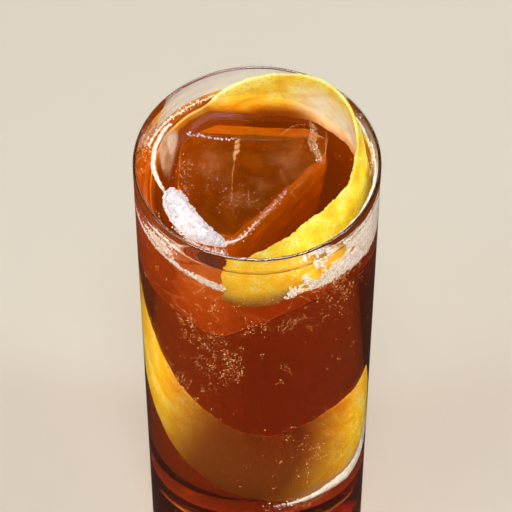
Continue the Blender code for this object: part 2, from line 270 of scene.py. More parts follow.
# Air in the ice: points across it in mm, depth below the rim, how many, spread in mm, and radii
ICE_AIR = (
    (((-18.0, 13.2), (-14.5, 12.6), (-9.9, 11.4), (-6.0, 11.4)), 5.7, 60, 0.22, 0.07, 0.26),
    (((14.0, 14.5), (14.4, 11.0), (15.2, 7.4), (15.9, 4.6)), 6.4, 80, 0.45, 0.06, 0.24),
    (((-18.6, 8.0), (-18.8, 0.0), (-17.0, -6.0)), 8.5, 70, 1.3, 0.05, 0.12),
    (((-12.0, -2.0), (-6.0, -6.0), (-1.0, -9.0)), 8.5, 50, 2.2, 0.05, 0.12),
    (((0.6, -12.6), (3.7, -8.9), (7.5, -3.5)), 7.4, 90, 0.5, 0.05, 0.16),
)

# Drink: how strongly each metre of it takes red, green and blue, and the strength of its painted glow
ABSORBED = 100.0
ABSORBED_COLOURS = (18.0, 52.0, 99.0)
PAINTED_GLOW_TOP = 0.12
PAINTED_GLOW_LOW = 0.07
PAINTED_GLOW_LEFT = 0.05
PAINTED_GLOW_AT_FOOT = 0.08            # share of it that is left at the foot

# Froth colours, from its thin places to its thick ones: whipped white, or creamed by the coffee
FRESH_FROTH = ((0.32, "#e6d6d0"), (0.55, "#f4ecf0"))
SETTLED_FROTH = ((0.32, "#f0d4a8"), (0.60, "#fffaec"))

# Gloss of the drink and the ice where they face the eye, as through a polarising filter
FACING_GLOSS = (0.0, 0.0, 0.0, 1.0)
WATERY_IOR = 1.34

# Studio: strength of the backdrop as seen and as light, and the share of it and of the floor that shows
# in mirrors, as when black cards stand round a glass
BACKDROP_SEEN = 0.75
BACKDROP_LIGHT = 0.30
CARDED = 0.06
FLOOR_HALF = 3.0
FLOOR_GAP = 0.05 * MM          # keeps the floor and the foot of the glass apart
KEY_STRENGTH = 1.2
KEY_ANGLE = 19                 # in degrees, for soft shadows
KEY_DIRECTION = (-0.02, 0.40, -0.88)
# Softboxes: where each hangs, the height on the glass that it faces, its width and height, and watts
SOFTBOXES = (
    ("left_strip", (-0.45, -0.1, 0.35), 0.12, 0.12, 0.5, 1.0),
    ("left_high", (-0.35, -0.25, 0.75), 0.16, 0.2, 0.2, 0.8),
    ("right_strip", (0.45, -0.12, 0.45), 0.12, 0.12, 0.5, 1.4),
    ("back", (0.1, 0.6, 0.5), 0.12, 0.5, 0.3, 1.6),
)
RIM_SOFTBOXES = (
    ("rim_top", (0.0, -0.1, 1.1), 0.169, 0.9, 0.9, 40.0),
    ("rim_back", (0.0, 0.8, 0.75), 0.169, 1.4, 0.35, 5.0),
)


def linear(hex_colour):
    """An sRGB hex colour as linear red, green, blue and alpha."""
    parts = [int(hex_colour[k : k + 2], 16) / 255 for k in (1, 3, 5)]
    return (*[c / 12.92 if c <= 0.04045 else ((c + 0.055) / 1.055) ** 2.4 for c in parts], 1.0)


CLEAR = {"Base Color": linear("#ffffff"), "Transmission Weight": 1.0, "Roughness": 0.0}


def follow(stations, azimuth):
    """Read a smooth curve through (azimuth, value) stations, by cubic Hermite spans."""
    last = len(stations) - 1
    i = 0
    while i < last - 1 and azimuth > stations[i + 1][0]:
        i += 1
    a0, v0 = stations[i]
    a1, v1 = stations[i + 1]
    span = a1 - a0
    before = stations[max(i - 1, 0)]
    after = stations[min(i + 2, last)]
    slope0 = (v1 - before[1]) / (a1 - before[0])
    slope1 = (after[1] - v0) / (after[0] - a0)
    t = min(max((azimuth - a0) / span, 0.0), 1.0)
    return (
        (2 * t**3 - 3 * t**2 + 1) * v0
        + (t**3 - 2 * t**2 + t) * span * slope0
        + (3 * t**2 - 2 * t**3) * v1
        + (t**3 - t**2) * span * slope1
    )


def smoothstep(low, high, value):
    """0 up to low, 1 from high on, and a smooth rise between."""
    t = min(max((value - low) / (high - low), 0.0), 1.0)
    return t * t * (3 - 2 * t)


def between(span, azimuth):
    """1 within a span of azimuths, which it reaches over the first two and leaves over the last two."""
    return smoothstep(span[0], span[1], azimuth) * (1 - smoothstep(span[2], span[3], azimuth))


def new_piece(name, mesh, material, *nodes, slot=None):
    """Link a mesh as a piece that rides with the glass and stands for the named solids."""
    item = bpy.data.objects.new(name, mesh)
    bpy.context.scene.collection.objects.link(item)
    mesh.materials.append(material)
    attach(item, "root")
    if nodes:
        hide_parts(*nodes)
    return item


def shell(name, rows, ring_closed=True):
    """Mesh over rows of points of equal length, each row a ring round the piece."""
    count = len(rows[0])
    points = [point for row in rows for point in row]
    faces = []
    for i in range(len(rows) - 1):
        for j in range(count if ring_closed else count - 1):
            here, above = i * count, (i + 1) * count
            after = (j + 1) % count
            faces.append((here + j, here + after, above + after, above + j))
    mesh = bpy.data.meshes.new(name)
    mesh.from_pydata(points, [], faces)
    return mesh


def tidy_mesh(mesh, merge=1e-6, sharp=None):
    """Weld points that fall together, turn the faces outward and shade them smooth."""
    shape = bmesh.new()
    shape.from_mesh(mesh)
    bmesh.ops.remove_doubles(shape, verts=shape.verts[:], dist=merge)
    bmesh.ops.recalc_face_normals(shape, faces=shape.faces[:])
    shape.to_mesh(mesh)
    shape.free()
    mesh.shade_smooth()
    if sharp is not None:
        mesh.set_sharp_from_angle(angle=math.radians(sharp))
    return mesh


def arc(centre, radius, start, end, count):
    """Points along an arc, between two angles in degrees."""
    points = []
    for k in range(count + 1):
        angle = math.radians(start + (end - start) * k / count)
        points.append((centre[0] + radius * math.cos(angle), centre[1] + radius * math.sin(angle)))
    return points


def spun_rows(profile):
    """Turn a profile of (radius, height) points round the Z axis."""
    rows = []
    for radius, height in profile:
        row = []
        for k in range(STEPS_ROUND):
            turn = 2 * math.pi * k / STEPS_ROUND
            row.append((radius * math.cos(turn), radius * math.sin(turn), height))
        rows.append(row)
    return rows


def make_glass(material):
    """The glass: one profile of its inside, lip, outside and foot, turned."""
    lip = LIP / 2
    floor = (BORE_RADIUS - INNER_ROUNDING, BASE_THICKNESS + INNER_ROUNDING)
    heel = (GLASS_RADIUS - HEEL_ROUNDING, HEEL_ROUNDING)
    profile = [(0.0, BASE_THICKNESS), (BORE_RADIUS * 0.5, BASE_THICKNESS)]
    profile += arc(floor, INNER_ROUNDING, -90, 0, 12)
    profile += [(BORE_RADIUS, RIM - 2 * LIP_TAPER), (BORE_RADIUS, RIM - LIP_TAPER)]
    profile += arc((GLASS_RADIUS - lip, RIM - lip), lip, 180, 0, 16)
    profile += arc(heel, HEEL_ROUNDING, 0, -90, 14)
    profile += [(GLASS_RADIUS * 0.4, 0.0), (0.0, 0.0)]
    mesh = tidy_mesh(shell("glass_wall", spun_rows(profile)))
    return new_piece("glass_wall", mesh, material, "glass", slot="clear_glass")


def peel_frame(azimuth):
    """Direction along the strip, direction across it (upward) and outward normal, with its lean."""
    before, after = azimuth - PEEL_STIFFNESS, azimuth + PEEL_STIFFNESS
    rise = MM * (follow(PEEL_DEPTH, before) - follow(PEEL_DEPTH, after))
    run = MM * follow(PEEL_REACH, azimuth) * math.radians(2 * PEEL_STIFFNESS)
    turn = math.radians(azimuth)
    outward = Vector((math.cos(turn), math.sin(turn), 0.0))
    along = Vector((-math.sin(turn) * run, math.cos(turn) * run, rise)).normalized()
    across = outward.cross(along).normalized()
    lean = Matrix.Rotation(math.radians(-follow(PEEL_LEAN, azimuth)), 3, along)
    return along, lean @ across, lean @ outward


def ragged_edge(azimuth, side):
    """How far a cut edge wanders: two slow waves, and the fine tearing of the knife."""
    turn = math.radians(azimuth)
    slow = PEEL_RAGGED * (0.6 * math.sin(13 * turn + 2 * side) + 0.4 * math.sin(29 * turn + side))
    fine = noise.noise(Vector((azimuth * 0.55, side * 7.0, 0.0))) * 0.35 * MM
    finer = noise.noise(Vector((azimuth * 1.9, side * 3.0, 4.0))) * 0.22 * MM
    return slow + fine + finer


def peel_relief(run, across):
    """Height of the skin over its even form: pores, and the slow lumps of a lemon."""
    place = Vector((run / PORE_SPACING, across / PORE_SPACING, 0.0))
    nearest = noise.voronoi(place)[0][0]
    pore = -PORE_DEPTH * (1 - smoothstep(0.0, 0.42, nearest))
    lump = 0.16 * MM * noise.noise(Vector((run, across, 0.0)) / (4.5 * MM))
    return pore + lump


def pith_relief(run, across):
    """Height of the torn pith over its even form."""
    place = Vector((run / (3.4 * MM), across / (2.0 * MM), 9.0))
    return 0.22 * MM * noise.noise(place) + 0.10 * MM * noise.noise(place * 3.1)


def bare_pith(azimuth, share):
    """How much pith shows on the inner side, where share runs from the upper edge to the lower."""
    right = between(PITH_RIGHT, azimuth) * smoothstep(-0.05, 0.5, share)
    left = between(PITH_LEFT, azimuth)
    return PITH_ALL_OVER + 0.9 * right + 0.8 * left


def torn_skin(azimuth, share):
    """How much pith shows on the skin side, where the knife left the strip's deep end thin."""
    return 1.5 * smoothstep(0.86, 0.90, share) * smoothstep(*SKIN_TORN, azimuth)


def steeped(azimuth, share, depth):
    """Stain and painted shade on the strip: most where it sinks and along the top of its deep turn.

    Depth runs from 0 at the skin to 1 at the inner side."""
    at_end = (0.45 + 0.5 * smoothstep(0.55, 1.0, share)) * (1 - smoothstep(*END_STAIN_AND_SHADE_GOES, azimuth))
    sunk = smoothstep(*STRIP_SINKS, azimuth)
    first = 0.48 - 0.4 * sunk
    last = first + 0.37 - 0.12 * sunk
    at_back = smoothstep(first, last, share) * smoothstep(*BACK_STAIN_AND_SHADE_COMES, azimuth)
    at_back = (at_back + 0.7 * sunk) * (0.75 + 0.25 * depth)
    at_left = smoothstep(*LOW_STAIN_AND_SHADE_COMES, azimuth + 22 * (0.5 - share))
    at_right = 0.9 * smoothstep(*LOW_STAIN_AND_SHADE_GOES, azimuth + 30 * (share - 0.4))
    return at_end + at_back * (1 - smoothstep(*BACK_STAIN_AND_SHADE_GOES, azimuth)) + at_left * (1 - at_right)


def end_tear(azimuth, share):
    """How far the strip's upper end is torn back, along the strip."""
    near_end = 1 - smoothstep(PEEL_START, PEEL_START + 5, azimuth)
    broad = noise.noise(Vector((share * 6, 1.5, 0.0)))
    fine = noise.noise(Vector((share * 19, 0.0, 3.0)))
    return near_end * END_TEAR * (0.4 + broad + 0.5 * fine)


def peel_ring(azimuth):
    """One section of the strip, as (place, share of pith in its colour, run, across) round the ring."""
    along, across, outward = peel_frame(azimuth)
    turn = math.radians(azimuth)
    half = 0.5 * MM * follow(PEEL_WIDTH, azimuth)
    upper = half + ragged_edge(azimuth, 1)
    lower = half + ragged_edge(azimuth, 2)
    run = turn * BORE_RADIUS
    bow = MM * follow(PEEL_BOW, azimuth)

    def on_strip(share, depth, relief=0.0):
        offset = upper - (upper + lower) * share
        angle = offset / bow
        normal = outward * math.cos(angle) + across * math.sin(angle)
        place = bow * (across * math.sin(angle) - outward * (1 - math.cos(angle)))
        thinned = PEEL_THICKNESS * (1 - PEEL_EDGE_THINNING * abs(2 * share - 1) ** 3)
        pith = smoothstep(ZEST_SHARE, 1.0, depth)
        if depth == 1.0:
            pith = bare_pith(azimuth, share)
        elif depth == 0.0:
            pith = torn_skin(azimuth, share)
        place += along * end_tear(azimuth, share) - normal * (thinned * depth - relief)
        return place, pith, run, offset, steeped(azimuth, share, depth)

    ring = []
    for k in range(SKIN_POINTS):
        share = k / (SKIN_POINTS - 1)
        offset = upper - (upper + lower) * share
        fade = smoothstep(0.0, 0.08, min(share, 1 - share))
        ring.append(on_strip(share, 0.0, fade * peel_relief(run, offset)))
    for k in range(1, EDGE_POINTS):
        depth = k / EDGE_POINTS
        ring.append(on_strip(1.0 + EDGE_BULGE * math.sin(math.pi * depth), depth))
    for k in range(PITH_POINTS):
        share = 1 - k / (PITH_POINTS - 1)
        offset = upper - (upper + lower) * share
        fade = smoothstep(0.0, 0.1, min(share, 1 - share))
        ring.append(on_strip(share, 1.0, fade * pith_relief(run, offset)))
    for k in range(1, EDGE_POINTS):
        depth = 1 - k / EDGE_POINTS
        ring.append(on_strip(-EDGE_BULGE * math.sin(math.pi * depth), depth))

    centre = Vector((0.0, 0.0, RIM - MM * follow(PEEL_DEPTH, azimuth)))
    radial = Vector((math.cos(turn), math.sin(turn), 0.0))
    reach = MM * follow(PEEL_REACH, azimuth)
    distance = reach
    skin = [on_strip(k / 6, 0.0)[0] for k in range(7)]
    # Draw the section in or out until the furthest part of its skin is at the reach
    for _ in range(4):
        furthest = max((radial * distance + p).to_2d().length for p in skin)
        distance -= furthest - reach
    return [(centre + radial * distance + item[0], *item[1:]) for item in ring]


def make_peel(material):
    """The strip of peel, ring by ring, with what its material reads stored at each point."""
    count = round((PEEL_END - PEEL_START) / PEEL_STEP)
    rings = [peel_ring(PEEL_START + (PEEL_END - PEEL_START) * k / count) for k in range(count + 1)]
    mesh = shell("lemon_peel_strip", [[item[0] for item in ring] for ring in rings])
    size = len(rings[0])
    items = [item for ring in rings for item in ring]
    for label, index in (("pith", 1), ("run", 2), ("across", 3), ("steeped", 4)):
        layer = mesh.attributes.new(label, "FLOAT", "POINT")
        layer.data.foreach_set("value", [item[index] for item in items])
    shape = bmesh.new()
    shape.from_mesh(mesh)
    shape.verts.ensure_lookup_table()
    for first in (0, count * size):
        close_end(shape, [shape.verts[first + k] for k in range(size)])
    bmesh.ops.recalc_face_normals(shape, faces=shape.faces[:])
    shape.to_mesh(mesh)
    shape.free()
    mesh.shade_smooth()
    mesh.set_sharp_from_angle(angle=math.radians(50))
    return new_piece("lemon_peel_strip", mesh, material, "lemon_peel", slot="lemon_skin")


def close_end(shape, end):
    """Close an end of the strip with one face, cut into triangles."""
    face = shape.faces.new(end)
    bmesh.ops.triangulate(shape, faces=[face], quad_method="BEAUTY", ngon_method="BEAUTY")


def cleave(shape, point, direction):
    """Keep what lies behind a plane, and close the cut."""
    geometry = shape.verts[:] + shape.edges[:] + shape.faces[:]
    result = bmesh.ops.bisect_plane(
        shape, geom=geometry, dist=1e-7, plane_co=point, plane_no=direction, clear_outer=True
    )
    rim = [item for item in result["geom_cut"] if isinstance(item, bmesh.types.BMEdge)]
    if rim:
        bmesh.ops.edgeloop_fill(shape, edges=rim)


def cleaved_ice():
    """The block of the solid, with its melted edges."""
    top = RIM - ICE_TOP_DEPTH
    place = Matrix.Translation((0.0, 0.0, (top + ICE_LOW) / 2))
    size = Matrix.Diagonal((2 * GLASS_RADIUS, 2 * GLASS_RADIUS, top - ICE_LOW, 1.0))
    shape = bmesh.new()
    bmesh.ops.create_cube(shape, size=1.0, matrix=place @ size)
    for direction, distance in ICE_SIDES:
        normal = Vector(direction).normalized()
        level = Vector((normal.x, normal.y, 0.0)).normalized()
        cleave(shape, Vector((0, 0, top)) + level * MM * distance, normal)
    for direction, (x, y, depth) in ICE_FACETS:
        cleave(shape, Vector((x * MM, y * MM, RIM - depth * MM)), Vector(direction).normalized())
    bmesh.ops.bevel(
        shape,
        geom=shape.edges[:],
        offset=ICE_MELT,
        segments=3,
        profile=0.5,
        affect="EDGES",
        clamp_overlap=True,
    )
    bmesh.ops.remove_doubles(shape, verts=shape.verts[:], dist=0.05 * MM)
    bmesh.ops.triangulate(shape, faces=shape.faces[:])
    bmesh.ops.recalc_face_normals(shape, faces=shape.faces[:])
    mesh = bpy.data.meshes.new("ice")
    shape.to_mesh(mesh)
    shape.free()
    return mesh


def remeshed(mesh, voxel):
    """The same form in even small faces."""
    item = bpy.data.objects.new("remeshing", mesh)
    bpy.context.scene.collection.objects.link(item)
    modifier = item.modifiers.new("even faces", "REMESH")
    modifier.mode = "VOXEL"
    modifier.voxel_size = voxel
    smooth = item.modifiers.new("soften", "SMOOTH")
    smooth.factor = 0.5
    smooth.iterations = 3
    bpy.context.view_layer.update()
    evaluated = item.evaluated_get(bpy.context.evaluated_depsgraph_get())
    fine = bpy.data.meshes.new_from_object(evaluated)
    bpy.data.objects.remove(item, do_unlink=True)
    return fine


def dented(mesh, dents, seed):
    """Push the points along their normals by noise of the given sizes and heights."""
    mesh.update()
    normals = [vertex.normal.copy() for vertex in mesh.vertices]
    for vertex, normal in zip(mesh.vertices, normals):
        shift = 0.0
        for size, height in dents:
            shift += height * (noise.noise(vertex.co / size + Vector((seed, 0, 0))) - DENT_BIAS)
        vertex.co += normal * shift
    mesh.update()
    return mesh


def inset_copy(mesh, distance):
    """A copy with every point moved in along its normal."""
    copy = mesh.copy()
    normals = [vertex.normal.copy() for vertex in mesh.vertices]
    for vertex, normal in zip(copy.vertices, normals):
        vertex.co -= normal * distance
    copy.update()
    return copy


def make_ice(material):
    """The block of ice, with melted edges and shallow dents."""
    mesh = dented(remeshed(cleaved_ice(), ICE_VOXEL), ICE_DENTS, 3.0)
    mesh.materials.clear()
    mesh.shade_smooth()
    return new_piece("ice_clear_block", mesh, material, "ice_block", slot="clear_ice")


def beside_ice(x, y):
    """Distance from the ice's upright sides, in metres, positive outside."""
    furthest = -1.0
    for direction, distance in ICE_SIDES:
        level = Vector((direction[0], direction[1])).normalized()
        furthest = max(furthest, level.x * x + level.y * y - distance * MM)
    return furthest


def peel_finder(peel):
    """A search tree over the peel's points near the drink's level."""
    near = [v.co for v in peel.data.vertices if abs(v.co.z - LEVEL) < 1.2 * MM]
    tree = kdtree.KDTree(len(near))
    for k, place in enumerate(near):
        tree.insert((place.x, place.y, 0.0), k)
    tree.balance()
    return tree


def drink_height(x, y, peel_tree):
    """The drink's surface, which climbs the wall, the ice and the peel."""
    radius = math.hypot(x, y)
    climbs = (
        (MENISCUS_AT_WALL, max(BORE_RADIUS - radius, 0.0)),
        (MENISCUS_AT_ICE, max(beside_ice(x, y), 0.0)),
        (MENISCUS_AT_PEEL, peel_tree.find((x, y, 0.0))[2]),
    )
    rise = max(height * math.exp(-distance / MENISCUS_WIDTH) for height, distance in climbs)
    return LEVEL + rise


def make_drink(material, ice, peel):
    """The drink: its surface in rings, then its side and foot, with the ice cut out of it."""
    outer = BORE_RADIUS + REACH_INTO_WALL
    corner = (BORE_RADIUS - INNER_ROUNDING, BASE_THICKNESS + INNER_ROUNDING)
    foot = BASE_THICKNESS - REACH_INTO_WALL
    profile = arc(corner, INNER_ROUNDING + REACH_INTO_WALL, 0, -90, 12)
    profile += [(outer * 0.5, foot), (0.0, foot)]
    tree = peel_finder(peel)
    rows = []
    for k in range(SURFACE_RINGS + 1):
        radius = outer * math.sin(math.pi / 2 * k / SURFACE_RINGS) ** RING_CROWDING
        row = []
        for j in range(STEPS_ROUND):
            turn = 2 * math.pi * j / STEPS_ROUND
            x, y = radius * math.cos(turn), radius * math.sin(turn)
            row.append((x, y, drink_height(x, y, tree)))
        rows.append(row)
    rows += spun_rows(profile)
    mesh = tidy_mesh(shell("coffee_tonic_drink", rows))
    drink = new_piece("coffee_tonic_drink", mesh, material, "drink", slot="coffee_tonic")
    carve(drink, inset_copy(ice.data, ICE_IN_DRINK))
    return drink


def carve(item, cutter_mesh):
    """Cut a mesh out of a piece, and keep the result in the piece's own mesh."""
    cutter = bpy.data.objects.new("cutter", cutter_mesh)
    bpy.context.scene.collection.objects.link(cutter)
    modifier = item.modifiers.new("carve", "BOOLEAN")
    modifier.operation = "DIFFERENCE"
    modifier.solver = "MANIFOLD"
    modifier.object = cutter
    bpy.context.view_layer.update()
    evaluated = item.evaluated_get(bpy.context.evaluated_depsgraph_get())
    carved = bpy.data.meshes.new_from_object(evaluated)
    item.modifiers.clear()
    item.data = carved
    bpy.data.objects.remove(cutter, do_unlink=True)
    carved.shade_smooth()
    carved.set_sharp_from_angle(angle=math.radians(40))


def ball(subdivisions):
    """Points and triangles of a small ball of radius 1."""
    shape = bmesh.new()
    bmesh.ops.create_icosphere(shape, subdivisions=subdivisions, radius=1.0)
    points = np.array([vertex.co for vertex in shape.verts])
    faces = np.array([[vertex.index for vertex in face.verts] for face in shape.faces])
    shape.free()
    return points, faces


def joined_balls(name, places, radii, subdivisions=1):
    """Many balls as one mesh."""
    points, faces = ball(subdivisions)
    centres = np.array(places)
    sizes = np.array(radii)
    all_points = (points[None] * sizes[:, None, None] + centres[:, None]).reshape(-1, 3)
    offsets = np.arange(len(centres))[:, None, None] * len(points)
    all_faces = (faces[None] + offsets).reshape(-1, 3)
    mesh = bpy.data.meshes.new(name)
    mesh.from_pydata(all_points.tolist(), [], all_faces.tolist())
    mesh.shade_smooth()
    return mesh


def bubble_size(draw, low, high):
    """Radius of a bubble: many small ones and a few large."""
    return (low + (high - low) * draw.random() ** 3) * MM


def curve_through(points, step):
    """Points evenly close along a smooth curve through the given ones (Catmull-Rom spans)."""
    ends = [points[0] * 2 - points[1], *points, points[-1] * 2 - points[-2]]
    path = []
    for before, start, end, after in zip(ends, ends[1:], ends[2:], ends[3:]):
        count = max(round((end - start).length / step), 1)
        for k in range(count):
            t = k / count
            path.append(
                0.5 * (
                    2 * start
                    + (end - before) * t
                    + (2 * before - 5 * start + 4 * end - after) * t**2
                    + (3 * start - before - 3 * end + after) * t**3
                )
            )
    return path + [points[-1].copy()]


def strand_rows(path, half_width, half_height, lump, seed, points_round=12):
    """Rings round a lumpy strand. Both half sizes are functions of the share of its length."""
    rows = []
    for k, place in enumerate(path):
        share = k / (len(path) - 1)
        along = (path[min(k + 1, len(path) - 1)] - path[max(k - 1, 0)]).normalized()
        side = along.cross(Vector((0.0, 0.0, 1.0))).normalized()
        up = side.cross(along)
        ring = []
        for j in range(points_round):
            angle = 2 * math.pi * j / points_round
            across, above = math.cos(angle), math.sin(angle)
            size = 1 + lump * noise.noise(Vector((k * 0.35, across * 1.5 + seed, above * 1.5)))
            ring.append(
                place
                + side * (half_width(share) * across * size)
                + up * (half_height(share) * above * size)
            )
        rows.append(ring)
    first, last = path[0], path[-1]
    return [[first] * points_round, *rows, [last] * points_round]


def offset_at(place):
    """A smooth offset by up to 1 each way, which is the same each run."""
    return Vector([noise.noise(place + Vector((0.0, 0.0, 11.0 * axis))) for axis in range(3)])


def strand(name, points, half_width, half_height, lump=0.5, seed=0.0, jog=0.0, step=0.25 * MM):
    """A closed strand along a smooth curve through the given points, which it leaves by up to jog."""
    path = curve_through(points, step)
    for k, place in enumerate(path):
        place += jog * offset_at(Vector((k * 0.22, seed, 0.0)))
    return tidy_mesh(shell(name, strand_rows(path, half_width, half_height, lump, seed)))


def growing(low, high):
    """A half size that grows from low at the start of a strand to high at its end."""
    return lambda share: low + (high - low) * share**3


def leaning(low, high):
    """A half size that is greatest a quarter of the way along a strand."""
    return lambda share: low + (high - low) * LEANING_PEAK * share**0.5 * (1 - share) ** 1.5


def swelling(low, high, power=0.6):
    """A half size that rises from low at the ends of a strand to high in its middle."""
    return lambda share: low + (high - low) * math.sin(math.pi * share) ** power


def join_meshes(name, meshes):
    """Several meshes as one."""
    shape = bmesh.new()
    for mesh in meshes:
        shape.from_mesh(mesh)
        bpy.data.meshes.remove(mesh)
    joined = bpy.data.meshes.new(name)
    shape.to_mesh(joined)
    shape.free()
    joined.shade_smooth()
    return joined


def mound_point(along, across, up):
    """A point of the mound, from its place in a ball of radius 1."""
    lump = 1 + 0.07 * math.sin(7 * along + 4 * up) + 0.06 * math.sin(9 * across + 5 * along)
    azimuth = math.radians(MOUND_AZIMUTH + MOUND_HALF_SPREAD * along)
    taper = 1 - 0.25 * along
    radius = MOUND_RADIUS + MOUND_HALF_WIDTH * across * lump * taper
    height = LEVEL + MOUND_HEIGHT * up * lump * taper
    return Vector((radius * math.cos(azimuth), radius * math.sin(azimuth), height))


def make_mound(material):
    """Froth heaped on the drink: a soft core, with bubbles that stand up along its edges."""
    core, faces = ball(6)
    mesh = bpy.data.meshes.new("froth_mound_foam")
    mesh.from_pydata([tuple(mound_point(*(point * 0.97))) for point in core], [], faces.tolist())
    tidy_mesh(mesh)
    dented(mesh, MOUND_LUMPS, 5.0)
    mesh.shade_smooth()
    new_piece("froth_mound_foam", mesh, material, "froth_mound", slot="coffee_froth")
    draw = random.Random(11)
    centres, radii = [], []
    while len(centres) < MOUND_BUBBLES:
        direction = Vector([draw.gauss(0, 1) for _ in range(3)]).normalized()
        edge = 1 - abs(direction.z)
        if direction.z < -0.3 or draw.random() > 0.15 + edge:
            continue
        place = mound_point(*(direction * draw.uniform(0.95, 1.02 + 0.06 * edge)))
        if beside_ice(place.x, place.y) < -0.3 * MM and place.z < LEVEL + 1 * MM:
            continue
        centres.append(tuple(place))
        radii.append(bubble_size(draw, *MOUND_BUBBLE_RADII))
    mesh = joined_balls("froth_mound_bubbles", centres, radii, 2)
    new_piece("froth_mound_bubbles", mesh, material, slot="coffee_froth")


def on_surface(points, lift=0.0):
    """Points given in mm across the drink, at its level."""
    return [Vector((x * MM, y * MM, LEVEL + lift)) for x, y in points]


def wall_place(azimuth, depth, inset):
    """A point by the inner wall: azimuth in degrees, depth in mm, distance from the wall in metres."""
    turn = math.radians(azimuth)
    radius = BORE_RADIUS - inset
    return Vector((radius * math.cos(turn), radius * math.sin(turn), RIM - depth * MM))


def along_wall(line, inset):
    """Points given as azimuth and depth, by the inner wall."""
    return [wall_place(azimuth, depth, inset) for azimuth, depth in line]


def bubbles_along(draw, path, count, spread, low, high):
    """Bubbles strewn about a path, as centres and radii."""
    centres, radii = [], []
    for _ in range(count):
        place = path[draw.randrange(len(path))]
        centres.append(tuple(place + Vector([draw.gauss(0, spread) for _ in range(3)])))
        radii.append(bubble_size(draw, low, high))
    return centres, radii


def set_cover(mesh, cover):
    """Store how much each point of a thin film covers what lies below it."""
    mesh.attributes.new("cover", "FLOAT", "POINT").data.foreach_set("value", cover)


def film_between(name, outer, inner, peel_tree, rows=70, columns=18):
    """A thin film on the drink between two lines, which clears along its edges and at its ends."""
    lines = [curve_through(on_surface(line), 0.05 * MM) for line in (outer, inner)]
    rings, cover = [], []
    for i in range(rows + 1):
        along = i / rows
        start, end = (line[round(along * (len(line) - 1))] for line in lines)
        thickness = FILM_THICKNESS / 2 * math.sin(math.pi * along)
        ring = []
        for side, shares in ((1, range(columns + 1)), (-1, range(columns, -1, -1))):
            for k in shares:
                place = start.lerp(end, k / columns)
                place.z = drink_height(place.x, place.y, peel_tree) + FILM_LIFT + side * thickness
                ring.append(place)
                edges = smoothstep(0.0, 0.25, k / columns) * (1 - smoothstep(0.65, 1.0, k / columns))
                ends = smoothstep(0.1, 0.65, along) * (1 - smoothstep(0.8, 1.0, along))
                cover.append(edges * ends)
        rings.append(ring)
    mesh = shell(name, rings)
    set_cover(mesh, cover)
    return tidy_mesh(mesh)


def make_froth_threads(foam, film, cream, peel):
    """Thin lines of froth: along the peel where it dips, at the wall behind it, and round the ice."""
    dip = on_surface(DIP_LINE, 0.25 * MM)
    tail = on_surface(ICE_TAIL, 0.25 * MM)
    back = along_wall(BACK_LINE, 0.5 * MM)
    right = along_wall(RIGHT_SMEAR, 0.25 * MM)
    pith = along_wall(PITH_ON_WALL, 0.05 * MM)
    strands = (
        ("dip", dip, swelling(0.2 * MM, 0.6 * MM), swelling(0.1 * MM, 0.3 * MM), 0.4, 1.0),
        ("back", back, growing(0.08 * MM, 0.3 * MM), growing(0.08 * MM, 0.6 * MM), 0.9, 2.0),
        ("tail", tail[::-1], growing(0.1 * MM, 0.9 * MM), growing(0.1 * MM, 0.6 * MM), 0.6, 3.0),
    )
    mesh = join_meshes("froth_thread_left", [strand(*item) for item in strands])
    new_piece("froth_thread_left", mesh, film, slot="coffee_froth")
    mesh = film_between("froth_film_left", FILM_OUTER, FILM_INNER, peel_finder(peel))
    new_piece("froth_film_left", mesh, cream, slot="coffee_froth")
    strands = (
        ("pith", pith, swelling(0.1 * MM, 0.25 * MM), leaning(0.6 * MM, 3.4 * MM), 0.3, 8.0),
        ("right", right, swelling(0.1 * MM, 0.2 * MM), swelling(0.2 * MM, 1.3 * MM), 0.5, 4.0),
    )
    mesh = join_meshes("froth_thread_right", [strand(*item) for item in strands])
    new_piece("froth_thread_right", mesh, foam, slot="coffee_froth")
    skirt = on_surface(MOUND_SKIRT, 0.3 * MM)
    strewn = ((dip, 90, 0.3), (tail, 150, 0.4), (back, 240, 0.3), (right, 120, 0.3), (skirt, 700, 0.55))
    new_piece("froth_thread_bubbles", thread_bubbles(strewn), foam, slot="coffee_froth")


def thread_bubbles(strewn):
    """Bubbles about lines of froth, given as (points, how many, spread in mm), and by the pith."""
    draw = random.Random(31)
    centres, radii = [], []
    for points, count, spread in strewn:
        path = curve_through(points, 0.2 * MM)
        more = bubbles_along(draw, path, count, spread * MM, *THREAD_BUBBLE_RADII)
        centres += more[0]
        radii += more[1]
    for azimuth, depth in PITH_ON_WALL[-3:]:
        for _ in range(PITH_BUBBLES):
            size = bubble_size(draw, *PITH_BUBBLE_RADII)
            turn = azimuth + draw.gauss(0, PITH_BUBBLE_SPREAD[0])
            low = depth + draw.gauss(0, PITH_BUBBLE_SPREAD[1])
            centres.append(tuple(wall_place(turn, low, size)))
            radii.append(size)
    return joined_balls("froth_thread_bubbles", centres, radii)


def from_patch(patch, azimuth, depth):
    """How far a place on the wall is from the middle of a patch: below 1 it lies in it."""
    middle, middle_depth, half_spread, half_height, tilt = patch
    across = azimuth - middle
    down = depth - middle_depth - tilt * across
    return math.hypot(across / half_spread, down / half_height)


